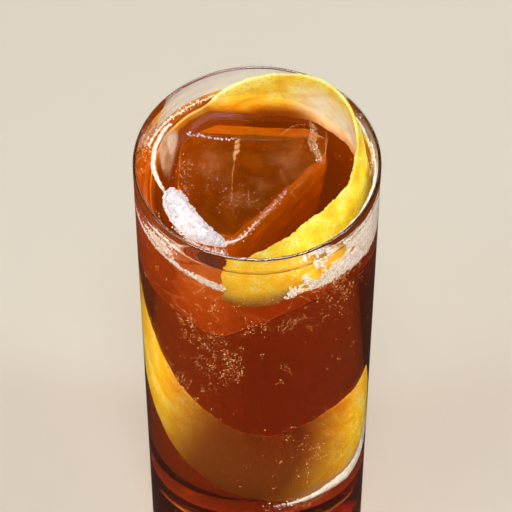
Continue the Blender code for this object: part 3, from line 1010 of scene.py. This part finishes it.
def right_froth(azimuth, depth):
    """Amount of froth on the right of the wall, kept where it is above zero."""
    torn = noise.noise(Vector((azimuth * 0.16, depth * 0.35, 2.4)))
    fine = noise.noise(Vector((azimuth * 0.9, depth * 1.6, 5.4)))
    inside = min(
        depth - follow(COLLAR_TOP, azimuth),
        follow(COLLAR_FOOT, azimuth) - depth,
        (azimuth - RIGHT_COLLAR_START[0]) * RIGHT_COLLAR_START[1],
        (RIGHT_COLLAR_END[0] - azimuth) * RIGHT_COLLAR_END[1],
    )
    gap = (min(from_patch(patch, azimuth, depth) for patch in COLLAR_GAPS) - 1) * 2.0
    azimuths, depths = LACY_CORNER
    lacy = 1.3 * (1 - smoothstep(*azimuths, azimuth)) * (1 - smoothstep(*depths, depth))
    return min(inside, gap) + 1.1 * torn + 0.5 * fine - lacy


def left_froth(azimuth, depth):
    """Amount of froth on the left of the wall: a line of bubbles and a lacy patch."""
    foot = follow(COLLAR_FOOT, azimuth)
    wander = noise.noise(Vector((azimuth * 0.2, 7.0, depth * 0.4)))
    fine = noise.noise(Vector((azimuth * 1.1, depth * 1.9, 3.0)))
    half_width = 0.35 + 0.55 * smoothstep(*LINE_WIDENS, azimuth)
    line = min(
        half_width - abs(depth - foot + 0.6 + 0.5 * wander),
        (LEFT_COLLAR_END[0] - azimuth) * LEFT_COLLAR_END[1],
    )
    patch = 1 - from_patch(LACY_PATCH, azimuth, depth)
    return max(line, 1.3 * patch - 0.5) + 0.85 * fine + 0.35 * wander


def froth_sheet(name, azimuths, depths, amount, thickness, step):
    """A thin sheet of froth on the wall, wherever its amount is above zero."""
    count = round((azimuths[1] - azimuths[0]) / step)
    rows = round((depths[1] - depths[0]) * MM / (math.radians(step) * BORE_RADIUS))
    shape = bmesh.new()
    grid = {}

    def corner(i, j, layer):
        if (i, j, layer) not in grid:
            azimuth = azimuths[0] + (azimuths[1] - azimuths[0]) * i / count
            depth = depths[0] + (depths[1] - depths[0]) * j / rows
            inset = (0.16 + 0.10 * noise.noise(Vector((azimuth, depth * 1.9, 0.0)) * 0.8)) * MM
            inset += layer * thickness
            grid[i, j, layer] = shape.verts.new(wall_place(azimuth, depth, inset))
        return grid[i, j, layer]

    kept = set()
    for i in range(count):
        for j in range(rows):
            azimuth = azimuths[0] + (azimuths[1] - azimuths[0]) * (i + 0.5) / count
            depth = depths[0] + (depths[1] - depths[0]) * (j + 0.5) / rows
            if amount(azimuth, depth) > 0:
                kept.add((i, j))
    for i, j in kept:
        square = ((i, j), (i + 1, j), (i + 1, j + 1), (i, j + 1))
        beside = ((i, j - 1), (i + 1, j), (i, j + 1), (i - 1, j))
        shape.faces.new([corner(*place, 0) for place in square])
        shape.faces.new([corner(*place, 1) for place in reversed(square)])
        for k, neighbour in enumerate(beside):
            if neighbour not in kept:
                start, end = square[k], square[(k + 1) % 4]
                edge = ((start, 0), (start, 1), (end, 1), (end, 0))
                shape.faces.new([corner(*place, layer) for place, layer in edge])
    mesh = bpy.data.meshes.new(name)
    shape.to_mesh(mesh)
    shape.free()
    return tidy_mesh(mesh)


def froth_bubbles(name, draw, azimuths, depths, amount, count, low, high):
    """Bubbles that crowd on the wall wherever there is froth, and thin out past its edge."""
    centres, radii = [], []
    while len(centres) < count:
        azimuth, depth = draw.uniform(*azimuths), draw.uniform(*depths)
        if amount(azimuth, depth) < draw.gauss(-0.1, 0.35):
            continue
        size = bubble_size(draw, low, high)
        centres.append(tuple(wall_place(azimuth, depth, size * 0.8 + 0.02 * MM)))
        radii.append(size)
    return joined_balls(name, centres, radii)


def make_collars(foam, film):
    """The two bands of froth on the wall: a thin torn sheet, and the bubbles that crowd on it."""
    draw = random.Random(23)
    for side, place, amount, thickness, step, bubbles in (
        ("right", RIGHT_COLLAR, right_froth, RIGHT_SHEET, 0.4, RIGHT_COLLAR_BUBBLES),
        ("left", LEFT_COLLAR, left_froth, LEFT_SHEET, 0.3, LEFT_COLLAR_BUBBLES),
    ):
        name = f"froth_collar_{side}"
        mesh = froth_sheet(f"{name}_foam", *place, amount, thickness, step)
        new_piece(f"{name}_foam", mesh, film, name, slot="coffee_froth")
        mesh = froth_bubbles(f"{name}_bubbles", draw, *place, amount, *bubbles)
        new_piece(f"{name}_bubbles", mesh, foam, slot="coffee_froth")


def make_fizz(material):
    """Tonic bubbles that cling to the wall inside, in clouds and stray ones between."""
    draw = random.Random(47)
    centres, radii = [], []
    for azimuth, depth, spread, drop, count in FIZZ_CLOUDS:
        for _ in range(count // FIZZ_GROUP):
            middle, middle_depth = azimuth + draw.gauss(0, spread), depth + draw.gauss(0, drop)
            for _ in range(FIZZ_GROUP):
                size = bubble_size(draw, *FIZZ_RADII)
                turn = middle + draw.gauss(0, FIZZ_GROUP_SPREAD[0])
                low = middle_depth + draw.gauss(0, FIZZ_GROUP_SPREAD[1])
                centres.append(tuple(wall_place(turn, low, size + FIZZ_INSET)))
                radii.append(size)
    first, last = STRAY_FIZZ_DEPTHS
    for _ in range(STRAY_FIZZ):
        size = bubble_size(draw, *STRAY_FIZZ_RADII)
        low = first + (last - first) * draw.random() ** 1.6
        centres.append(tuple(wall_place(draw.uniform(0, 360), low, size + FIZZ_INSET)))
        radii.append(size)
    mesh = joined_balls("tonic_fizz_bubbles", centres, radii)
    new_piece("tonic_fizz_bubbles", mesh, material, slot="coffee_froth")


def in_ice(points, depth):
    """Points given in mm across the ice, at a depth in mm."""
    return [Vector((x * MM, y * MM, RIM - depth * MM)) for x, y in points]


def cloud_sheet(x, y, depth, half_x, half_y, rings=22, spokes=64):
    """A thin lens of clouded ice, wavy, and open to the ice all round."""
    rows, cover = [], []
    for side, steps in ((1, range(rings + 1)), (-1, range(rings, -1, -1))):
        for i in steps:
            share = i / rings
            row = []
            for j in range(spokes):
                turn = 2 * math.pi * j / spokes
                px = x + half_x * share * math.cos(turn)
                py = y + half_y * share * math.sin(turn)
                wave = 0.9 * noise.noise(Vector((px, py, depth)) / 3.5)
                row.append((px * MM, py * MM, RIM + (side * 0.05 - depth + wave) * MM))
            rows.append(row)
            cover += [1 - smoothstep(0.1, 1.0, share)] * spokes
    mesh = shell("cloud", rows)
    set_cover(mesh, cover)
    return tidy_mesh(mesh)


def make_ice_marks(frost, haze, foam):
    """Cracks, chips, clouds and air caught in the ice and along its melted edges."""
    cracks = []
    for k, (points, depth, half_width, half_height) in enumerate(ICE_CRACKS):
        width = swelling(CRACK_ENDS, half_width * MM)
        height = swelling(CRACK_ENDS, half_height * MM)
        path = in_ice(points, depth)
        cracks.append(strand("crack", path, width, height, seed=float(k), jog=CRACK_JOG))
    new_piece("ice_cracks", join_meshes("ice_cracks", cracks), frost, slot="clear_ice")
    clouds = [cloud_sheet(*cloud) for cloud in ICE_CLOUDS]
    new_piece("ice_clouds", join_meshes("ice_clouds", clouds), haze, slot="clear_ice")
    draw = random.Random(59)
    centres, radii = [], []
    for points, depth, count, spread, low, high in ICE_AIR:
        path = curve_through(in_ice(points, depth), 0.3 * MM)
        more = bubbles_along(draw, path, count, spread * MM, low, high)
        centres += more[0]
        radii += more[1]
    mesh = joined_balls("ice_air_bubbles", centres, radii, 2)
    new_piece("ice_air_bubbles", mesh, foam, slot="clear_ice")


def material_named(name):
    """A new material, with its node tree and its shader."""
    material = bpy.data.materials.new(name)
    material.use_nodes = True
    tree = material.node_tree
    return material, tree, tree.nodes["Principled BSDF"]


def set_stops(ramp, stops):
    """Give a colour ramp its (position, hex colour) stops."""
    while len(ramp.elements) < len(stops):
        ramp.elements.new(0.5)
    for element, (position, hex_colour) in zip(ramp.elements, stops):
        element.position = position
        element.color = linear(hex_colour)


def equip(tree, node, links, settings):
    """Set a node's own settings and its sockets, and link what feeds it: a socket or a node's first."""
    for key, value in settings.items():
        if key == "stops":
            set_stops(node.color_ramp, value)
        elif key in node.inputs:
            node.inputs[key].default_value = value
        else:
            setattr(node, key, value)
    for socket, source in dict(links).items():
        if isinstance(source, bpy.types.Node):
            source = source.outputs[0]
        tree.links.new(source, node.inputs[socket])
    return node


def add(tree, kind, links=(), **settings):
    """Add a node with its settings and links."""
    return equip(tree, tree.nodes.new(kind), links, settings)


def limits(from_low, from_high, to_low=0.0, to_high=1.0):
    """Settings of a node that maps a range: the values it reads, and what it gives for them."""
    return {"From Min": from_low, "From Max": from_high, "To Min": to_low, "To Max": to_high}


def let_light_in(tree, shader):
    """Light reaches what the clear piece holds, by way of straight shadow rays."""
    shadow = add(tree, "ShaderNodeLightPath").outputs["Is Shadow Ray"]
    straight = add(tree, "ShaderNodeBsdfTransparent")
    mix = add(tree, "ShaderNodeMixShader", {0: shadow, 1: shader, 2: straight})
    tree.links.new(mix.outputs[0], tree.nodes["Material Output"].inputs["Surface"])


def blown_soda_glass():
    """Thin blown glass: clear, very smooth, with the slow waviness that blowing leaves."""
    material, tree, shader = material_named("soda_glass_blown")
    place = add(tree, "ShaderNodeTexCoord").outputs["Object"]
    wave = add(tree, "ShaderNodeTexNoise", {"Vector": place}, Scale=1 / (22 * MM), Detail=1.0)
    bump = add(tree, "ShaderNodeBump", {"Height": wave}, Strength=0.03, Distance=0.3 * MM)
    equip(tree, shader, {"Normal": bump}, CLEAR | {"IOR": 1.5})
    let_light_in(tree, shader)
    return material


def coffee_tonic():
    """Espresso thinned with tonic: amber that darkens to red brown with depth.

    A faint painted glow, stronger near the surface and on the lit left side, stands in for light its
    coffee oils scatter."""
    material, tree, shader = material_named("espresso_and_tonic")
    passed = [1 - taken / ABSORBED for taken in ABSORBED_COLOURS]
    volume = add(tree, "ShaderNodeVolumeAbsorption", Density=ABSORBED, Color=(*passed, 1.0))
    tree.links.new(volume.outputs[0], tree.nodes["Material Output"].inputs["Volume"])
    place = add(tree, "ShaderNodeSeparateXYZ", {0: add(tree, "ShaderNodeTexCoord").outputs["Object"]})
    x, y, z = place.outputs
    # Painted light: an amber glow, strongest near the top, on the left and away from the wall, weakest
    # at the foot
    near_top = add(
        tree,
        "ShaderNodeMapRange",
        {"Value": z},
        interpolation_type="SMOOTHSTEP",
        **limits(LEVEL - 42 * MM, LEVEL - 2 * MM, PAINTED_GLOW_LOW, PAINTED_GLOW_TOP),
    )
    lit_side = add(tree, "ShaderNodeMapRange", {"Value": x}, **limits(-BORE_RADIUS, 0.0, PAINTED_GLOW_LEFT, 0.0))
    level = add(tree, "ShaderNodeCombineXYZ", {0: x, 1: y})
    radius = add(tree, "ShaderNodeVectorMath", {0: level}, operation="LENGTH").outputs["Value"]
    inner = add(tree, "ShaderNodeMapRange", {"Value": radius}, **limits(25 * MM, BORE_RADIUS, 1.0, 0.4))
    heart = add(tree, "ShaderNodeMath", {0: near_top, 1: inner}, operation="MULTIPLY")
    both = add(tree, "ShaderNodeMath", {0: heart, 1: lit_side}, operation="ADD")
    low_down = add(tree, "ShaderNodeMapRange", {"Value": z}, **limits(32 * MM, 90 * MM, PAINTED_GLOW_AT_FOOT))
    painted_glow = add(tree, "ShaderNodeMath", {0: both, 1: low_down}, operation="MULTIPLY")
    looks = {"Specular Tint": FACING_GLOSS, "IOR": WATERY_IOR, "Emission Color": linear("#ff7004")}
    equip(tree, shader, {"Emission Strength": painted_glow}, CLEAR | looks)
    let_light_in(tree, shader)
    return material


def melting_ice():
    """Clear ice frozen in a block: wet and smooth, faintly frosted where it is chipped.

    A faint uneven painted glow stands in for the amber light that the air in it scatters."""
    material, tree, shader = material_named("clear_ice_frozen")
    place = add(tree, "ShaderNodeTexCoord").outputs["Object"]
    frost = add(tree, "ShaderNodeTexNoise", {"Vector": place}, Scale=1 / (5 * MM), Detail=4.0)
    rough = add(tree, "ShaderNodeMapRange", {"Value": frost}, **limits(0.5, 0.8, 0.0, 0.2))
    # Painted light: a faint amber glow in patches, brighter where the frost noise is high
    painted_glow = add(tree, "ShaderNodeMapRange", {"Value": frost}, **limits(0.35, 0.65, 0.01, 0.06))
    looks = {"Specular Tint": FACING_GLOSS, "IOR": 1.31, "Emission Color": linear("#ff8c10")}
    equip(tree, shader, {"Roughness": rough, "Emission Strength": painted_glow}, CLEAR | looks)
    let_light_in(tree, shader)
    return material


def ice_frost():
    """Cracks in ice: frosty where the faces part, and patchy, so that they show only here and there."""
    material, tree, shader = material_named("ice_crack_frost")
    place = add(tree, "ShaderNodeTexCoord").outputs["Object"]
    patch = add(
        tree, "ShaderNodeTexNoise", {"Vector": place}, Scale=1 / (1.0 * MM), Detail=5.0, Roughness=0.7
    )
    cover = add(tree, "ShaderNodeMapRange", {"Value": patch}, **limits(0.42, 0.70, 0.0, 0.6))
    equip(tree, shader, {"Alpha": cover}, {"Base Color": linear("#e6b478"), "Roughness": 0.3})
    return material


def ice_haze():
    """Air frozen into the ice as fine threads and dust, which clouds it in soft amber patches."""
    material, tree, shader = material_named("ice_haze_frozen")
    place = add(tree, "ShaderNodeTexCoord").outputs["Object"]
    broad = add(tree, "ShaderNodeTexNoise", {"Vector": place}, Scale=1 / (5 * MM), Detail=2.0)
    fine = add(
        tree, "ShaderNodeTexNoise", {"Vector": place}, Scale=1 / (1.2 * MM), Detail=6.0, Roughness=0.75
    )
    both = add(tree, "ShaderNodeMath", {0: broad, 1: fine}, operation="MULTIPLY")
    patch = add(tree, "ShaderNodeMapRange", {"Value": both}, **limits(0.18, 0.40, 0.0, 0.14))
    cover = add(tree, "ShaderNodeAttribute", attribute_name="cover").outputs["Fac"]
    alpha = add(tree, "ShaderNodeMath", {0: patch, 1: cover}, operation="MULTIPLY")
    equip(tree, shader, {"Alpha": alpha}, {"Base Color": linear("#b87840"), "Roughness": 0.6})
    return material


def cream_film():
    """Cream that settles beside the ice: a soft pale film, streaked along its length."""
    material, tree, shader = material_named("coffee_cream_film")
    place = add(tree, "ShaderNodeTexCoord").outputs["Object"]
    long = add(tree, "ShaderNodeMapping", {"Vector": place}, Scale=(1.0, 0.3, 1.0))
    tone = add(tree, "ShaderNodeTexNoise", {"Vector": long}, Scale=1 / (2.4 * MM), Detail=2.0)
    stops = ((0.30, "#a87848"), (0.70, "#ccb094"))
    colour = add(tree, "ShaderNodeValToRGB", {"Fac": tone}, stops=stops)
    cover = add(tree, "ShaderNodeAttribute", attribute_name="cover").outputs["Fac"]
    thick = add(tree, "ShaderNodeMapRange", {"Value": tone}, **limits(0.25, 0.65, 0.35))
    alpha = add(tree, "ShaderNodeMath", {0: thick, 1: cover}, operation="MULTIPLY")
    links = {"Base Color": colour, "Alpha": alpha}
    equip(tree, shader, links, {"Roughness": 0.3, "IOR": WATERY_IOR})
    return material


def lemon_peel():
    """Fresh cut lemon: waxy pored zest outside, and a thin pale pith that lets the yellow through."""
    material, tree, shader = material_named("lemon_peel_cut")
    run, across, bare, stain_and_shade_amount = (
        add(tree, "ShaderNodeAttribute", attribute_name=name).outputs["Fac"]
        for name in ("run", "across", "pith", "steeped")
    )
    place = add(tree, "ShaderNodeCombineXYZ", {0: run, 1: across})
    tone = add(tree, "ShaderNodeTexNoise", {"Vector": place}, Scale=1 / (5 * MM), Detail=4.0)
    yellow = ((0.32, "#f6c000"), (0.50, "#ffe320"), (0.68, "#fff680"))
    zest = add(tree, "ShaderNodeValToRGB", {"Fac": tone}, stops=yellow)
    cells = add(tree, "ShaderNodeTexVoronoi", {"Vector": place}, Scale=1 / (0.62 * MM))
    cell = add(tree, "ShaderNodeMapRange", {"Value": cells}, **limits(0.1, 0.5))
    # Painted shade: the pores' dimples are tinted a deeper yellow
    pore_shade = add(tree, "ShaderNodeMix", {0: cell, 7: zest}, data_type="RGBA")
    pore_shade.inputs[6].default_value = linear("#f9c600")
    white = ((0.3, "#f8eab0"), (0.7, "#fffae0"))
    pith = add(tree, "ShaderNodeValToRGB", {"Fac": tone}, stops=white)
    colour = add(tree, "ShaderNodeMix", {0: bare, 6: pore_shade.outputs[2], 7: pith}, data_type="RGBA")
    # Darkens towards coffee brown: a coffee stain, and painted shade low down and where the strip sinks
    coffee = add(tree, "ShaderNodeMix", {0: stain_and_shade_amount, 6: colour.outputs[2]}, data_type="RGBA")
    coffee.inputs[7].default_value = linear("#7c4c10")
    bump = add(tree, "ShaderNodeBump", {"Height": cell}, Strength=0.6, Distance=0.12 * MM)
    looks = {
        "Roughness": 0.36,
        "IOR": 1.45,
        "Subsurface Weight": 0.35,
        "Subsurface Radius": (1.0, 0.75, 0.12),
        "Subsurface Scale": 1.2 * MM,
        "Coat Weight": 0.4,
        "Coat Roughness": 0.2,
    }
    equip(tree, shader, {"Base Color": coffee.outputs[2], "Normal": bump}, looks)
    return material


def tonic_froth(name, stops):
    """Foam of tonic and coffee oils: pale, soft, with a wet gloss on its bubbles."""
    material, tree, shader = material_named(name)
    place = add(tree, "ShaderNodeTexCoord").outputs["Object"]
    tone = add(tree, "ShaderNodeTexNoise", {"Vector": place}, Scale=1 / (1.4 * MM), Detail=3.0)
    colour = add(tree, "ShaderNodeValToRGB", {"Fac": tone}, stops=stops)
    looks = {
        "Roughness": 0.25,
        "IOR": WATERY_IOR,
        "Subsurface Weight": 0.6,
        "Subsurface Radius": (1.0, 0.85, 0.8),
        "Subsurface Scale": 1.0 * MM,
    }
    equip(tree, shader, {"Base Color": colour}, looks)
    return material


def froth_film():
    """A film of spent froth: a raft of tiny cells, tan where they are thin, with holes in it."""
    material, tree, shader = material_named("tonic_froth_film")
    place = add(tree, "ShaderNodeTexCoord").outputs["Object"]
    patch = add(
        tree, "ShaderNodeTexNoise", {"Vector": place}, Scale=1 / (1.1 * MM), Detail=4.0, Roughness=0.65
    )
    cells = add(tree, "ShaderNodeTexVoronoi", {"Vector": place}, Scale=1 / (0.55 * MM))
    raft = add(tree, "ShaderNodeMath", {0: cells, 1: patch}, operation="ADD")
    stops = ((0.42, "#b07c46"), (0.66, "#e4ccae"), (0.90, "#fff4e4"))
    colour = add(tree, "ShaderNodeValToRGB", {"Fac": raft}, stops=stops)
    bump = add(tree, "ShaderNodeBump", {"Height": cells}, Strength=0.6, Distance=0.15 * MM)
    cover = add(tree, "ShaderNodeMapRange", {"Value": patch}, **limits(0.30, 0.60, 0.15, 0.75))
    links = {"Base Color": colour, "Normal": bump, "Alpha": cover}
    equip(tree, shader, links, {"Roughness": 0.25, "IOR": WATERY_IOR})
    return material


def fizz_gas():
    """Gas bubbles in the drink: pale amber beads, a painted reflection of the amber light round them."""
    material, tree, shader = material_named("tonic_bubble_gas")
    place = add(tree, "ShaderNodeTexCoord").outputs["Object"]
    tone = add(tree, "ShaderNodeTexNoise", {"Vector": place}, Scale=1 / (3 * MM), Detail=2.0)
    # Painted reflection: the amber colour stands in for the light that a clear bubble mirrors
    stops = ((0.35, "#c8782a"), (0.65, "#f9cf8a"))
    colour = add(tree, "ShaderNodeValToRGB", {"Fac": tone}, stops=stops)
    equip(tree, shader, {"Base Color": colour}, {"Roughness": 0.12, "IOR": WATERY_IOR, "Alpha": 0.6})
    return material


def in_mirrors(tree):
    """How strongly the studio shows: all of it, but a small share where something mirrors it."""
    depth = add(tree, "ShaderNodeLightPath").outputs["Glossy Depth"]
    return add(tree, "ShaderNodeMapRange", {"Value": depth}, **limits(0.0, 1.0, 1.0, CARDED))


def pale_floor():
    """The paper that the glass stands on."""
    material, tree, shader = material_named("studio_paper")
    paper = add(tree, "ShaderNodeMix", {0: in_mirrors(tree)}, data_type="RGBA")
    paper.inputs[6].default_value = linear("#000000")
    paper.inputs[7].default_value = linear("#ccc4b5")
    looks = {"Roughness": 1.0, "Specular IOR Level": 0.0}
    equip(tree, shader, {"Base Color": paper.outputs[2]}, looks)
    mesh = bpy.data.meshes.new("floor")
    corners = [(x * FLOOR_HALF, y * FLOOR_HALF, 0) for x, y in ((-1, -1), (1, -1), (1, 1), (-1, 1))]
    mesh.from_pydata(corners, [], [(0, 1, 2, 3)])
    mesh.materials.append(material)
    floor = bpy.data.objects.new("floor", mesh)
    floor.location.z = -FLOOR_GAP
    bpy.context.scene.collection.objects.link(floor)


def place_camera():
    """The photographer's view."""
    pitch = math.radians(CAMERA_PITCH)
    forward = Vector((0.0, math.cos(pitch), -math.sin(pitch)))
    up = Vector((0.0, math.sin(pitch), math.cos(pitch)))
    data = bpy.data.cameras.new("camera")
    data.lens = LENS
    data.sensor_width = 36.0
    data.clip_start = 0.01
    camera = bpy.data.objects.new("camera", data)
    camera.location = Vector((0.0, 0.0, RIM)) - forward * CAMERA_DISTANCE - up * CAMERA_RISE
    camera.location.x -= CAMERA_SIDE
    camera.rotation_euler = (math.pi / 2 - pitch, 0.0, 0.0)
    bpy.context.scene.collection.objects.link(camera)
    bpy.context.scene.camera = camera


def softbox(name, place, faced, width, height, power):
    """A soft panel that faces the glass at a height of its axis, and that no camera sees."""
    data = bpy.data.lights.new(name, "AREA")
    data.shape = "RECTANGLE"
    data.size = width
    data.size_y = height
    data.energy = power
    light = bpy.data.objects.new(name, data)
    light.visible_camera = False
    light.location = place
    light.rotation_mode = "QUATERNION"
    light.rotation_quaternion = (Vector((0.0, 0.0, faced)) - Vector(place)).to_track_quat("-Z", "Y")
    bpy.context.scene.collection.objects.link(light)
    return light


def light_the_rim(glass):
    """Softboxes that only the glass sees: they run a bright line along its rim."""
    lit = bpy.data.collections.new("lit_by_rim_lights")
    lit.objects.link(glass)
    for panel in RIM_SOFTBOXES:
        softbox(*panel).light_linking.receiver_collection = lit


def light_the_scene():
    """A pale room, dimmer as light than as seen, a soft key from the front and above, and softboxes."""
    world = bpy.data.worlds.new("studio")
    world.use_nodes = True
    bpy.context.scene.world = world
    tree = world.node_tree
    rays = add(tree, "ShaderNodeLightPath").outputs
    sockets = {0: rays["Is Camera Ray"], 1: rays["Is Transmission Ray"]}
    seen = add(tree, "ShaderNodeMath", sockets, operation="MAXIMUM")
    reach = limits(0.0, 1.0, BACKDROP_LIGHT, BACKDROP_SEEN)
    strength = add(tree, "ShaderNodeMapRange", {"Value": seen}, **reach)
    shown = add(tree, "ShaderNodeMath", {0: strength, 1: in_mirrors(tree)}, operation="MULTIPLY")
    equip(tree, tree.nodes["Background"], {"Strength": shown}, {"Color": linear("#f6f5f4")})
    key = bpy.data.lights.new("key", "SUN")
    key.energy = KEY_STRENGTH
    key.angle = math.radians(KEY_ANGLE)
    lamp = bpy.data.objects.new("key", key)
    lamp.rotation_mode = "QUATERNION"
    lamp.rotation_quaternion = Vector(KEY_DIRECTION).to_track_quat("-Z", "Y")
    bpy.context.scene.collection.objects.link(lamp)
    for panel in SOFTBOXES:
        softbox(*panel)


def render_settings():
    """Plain colours, and enough bounces for light to pass through glass, drink and ice."""
    scene = bpy.context.scene
    scene.view_settings.view_transform = "Standard"
    scene.view_settings.look = "None"
    scene.cycles.max_bounces = 24
    scene.cycles.transmission_bounces = 20
    scene.cycles.transparent_max_bounces = 32
    scene.cycles.glossy_bounces = 6
    scene.cycles.diffuse_bounces = 3
    scene.cycles.use_denoising = True
    scene.cycles.sample_clamp_indirect = 6.0


place_camera()
glass_piece = make_glass(blown_soda_glass())
peel_piece = make_peel(lemon_peel())
ice_piece = make_ice(melting_ice())
make_drink(coffee_tonic(), ice_piece, peel_piece)
fresh_froth = tonic_froth("tonic_froth_whipped", FRESH_FROTH)
old_froth = tonic_froth("tonic_froth_settled", SETTLED_FROTH)
film = froth_film()
make_mound(fresh_froth)
make_froth_threads(old_froth, film, cream_film(), peel_piece)
make_collars(old_froth, film)
make_fizz(fizz_gas())
make_ice_marks(ice_frost(), ice_haze(), fresh_froth)
pale_floor()
light_the_scene()
light_the_rim(glass_piece)
render_settings()
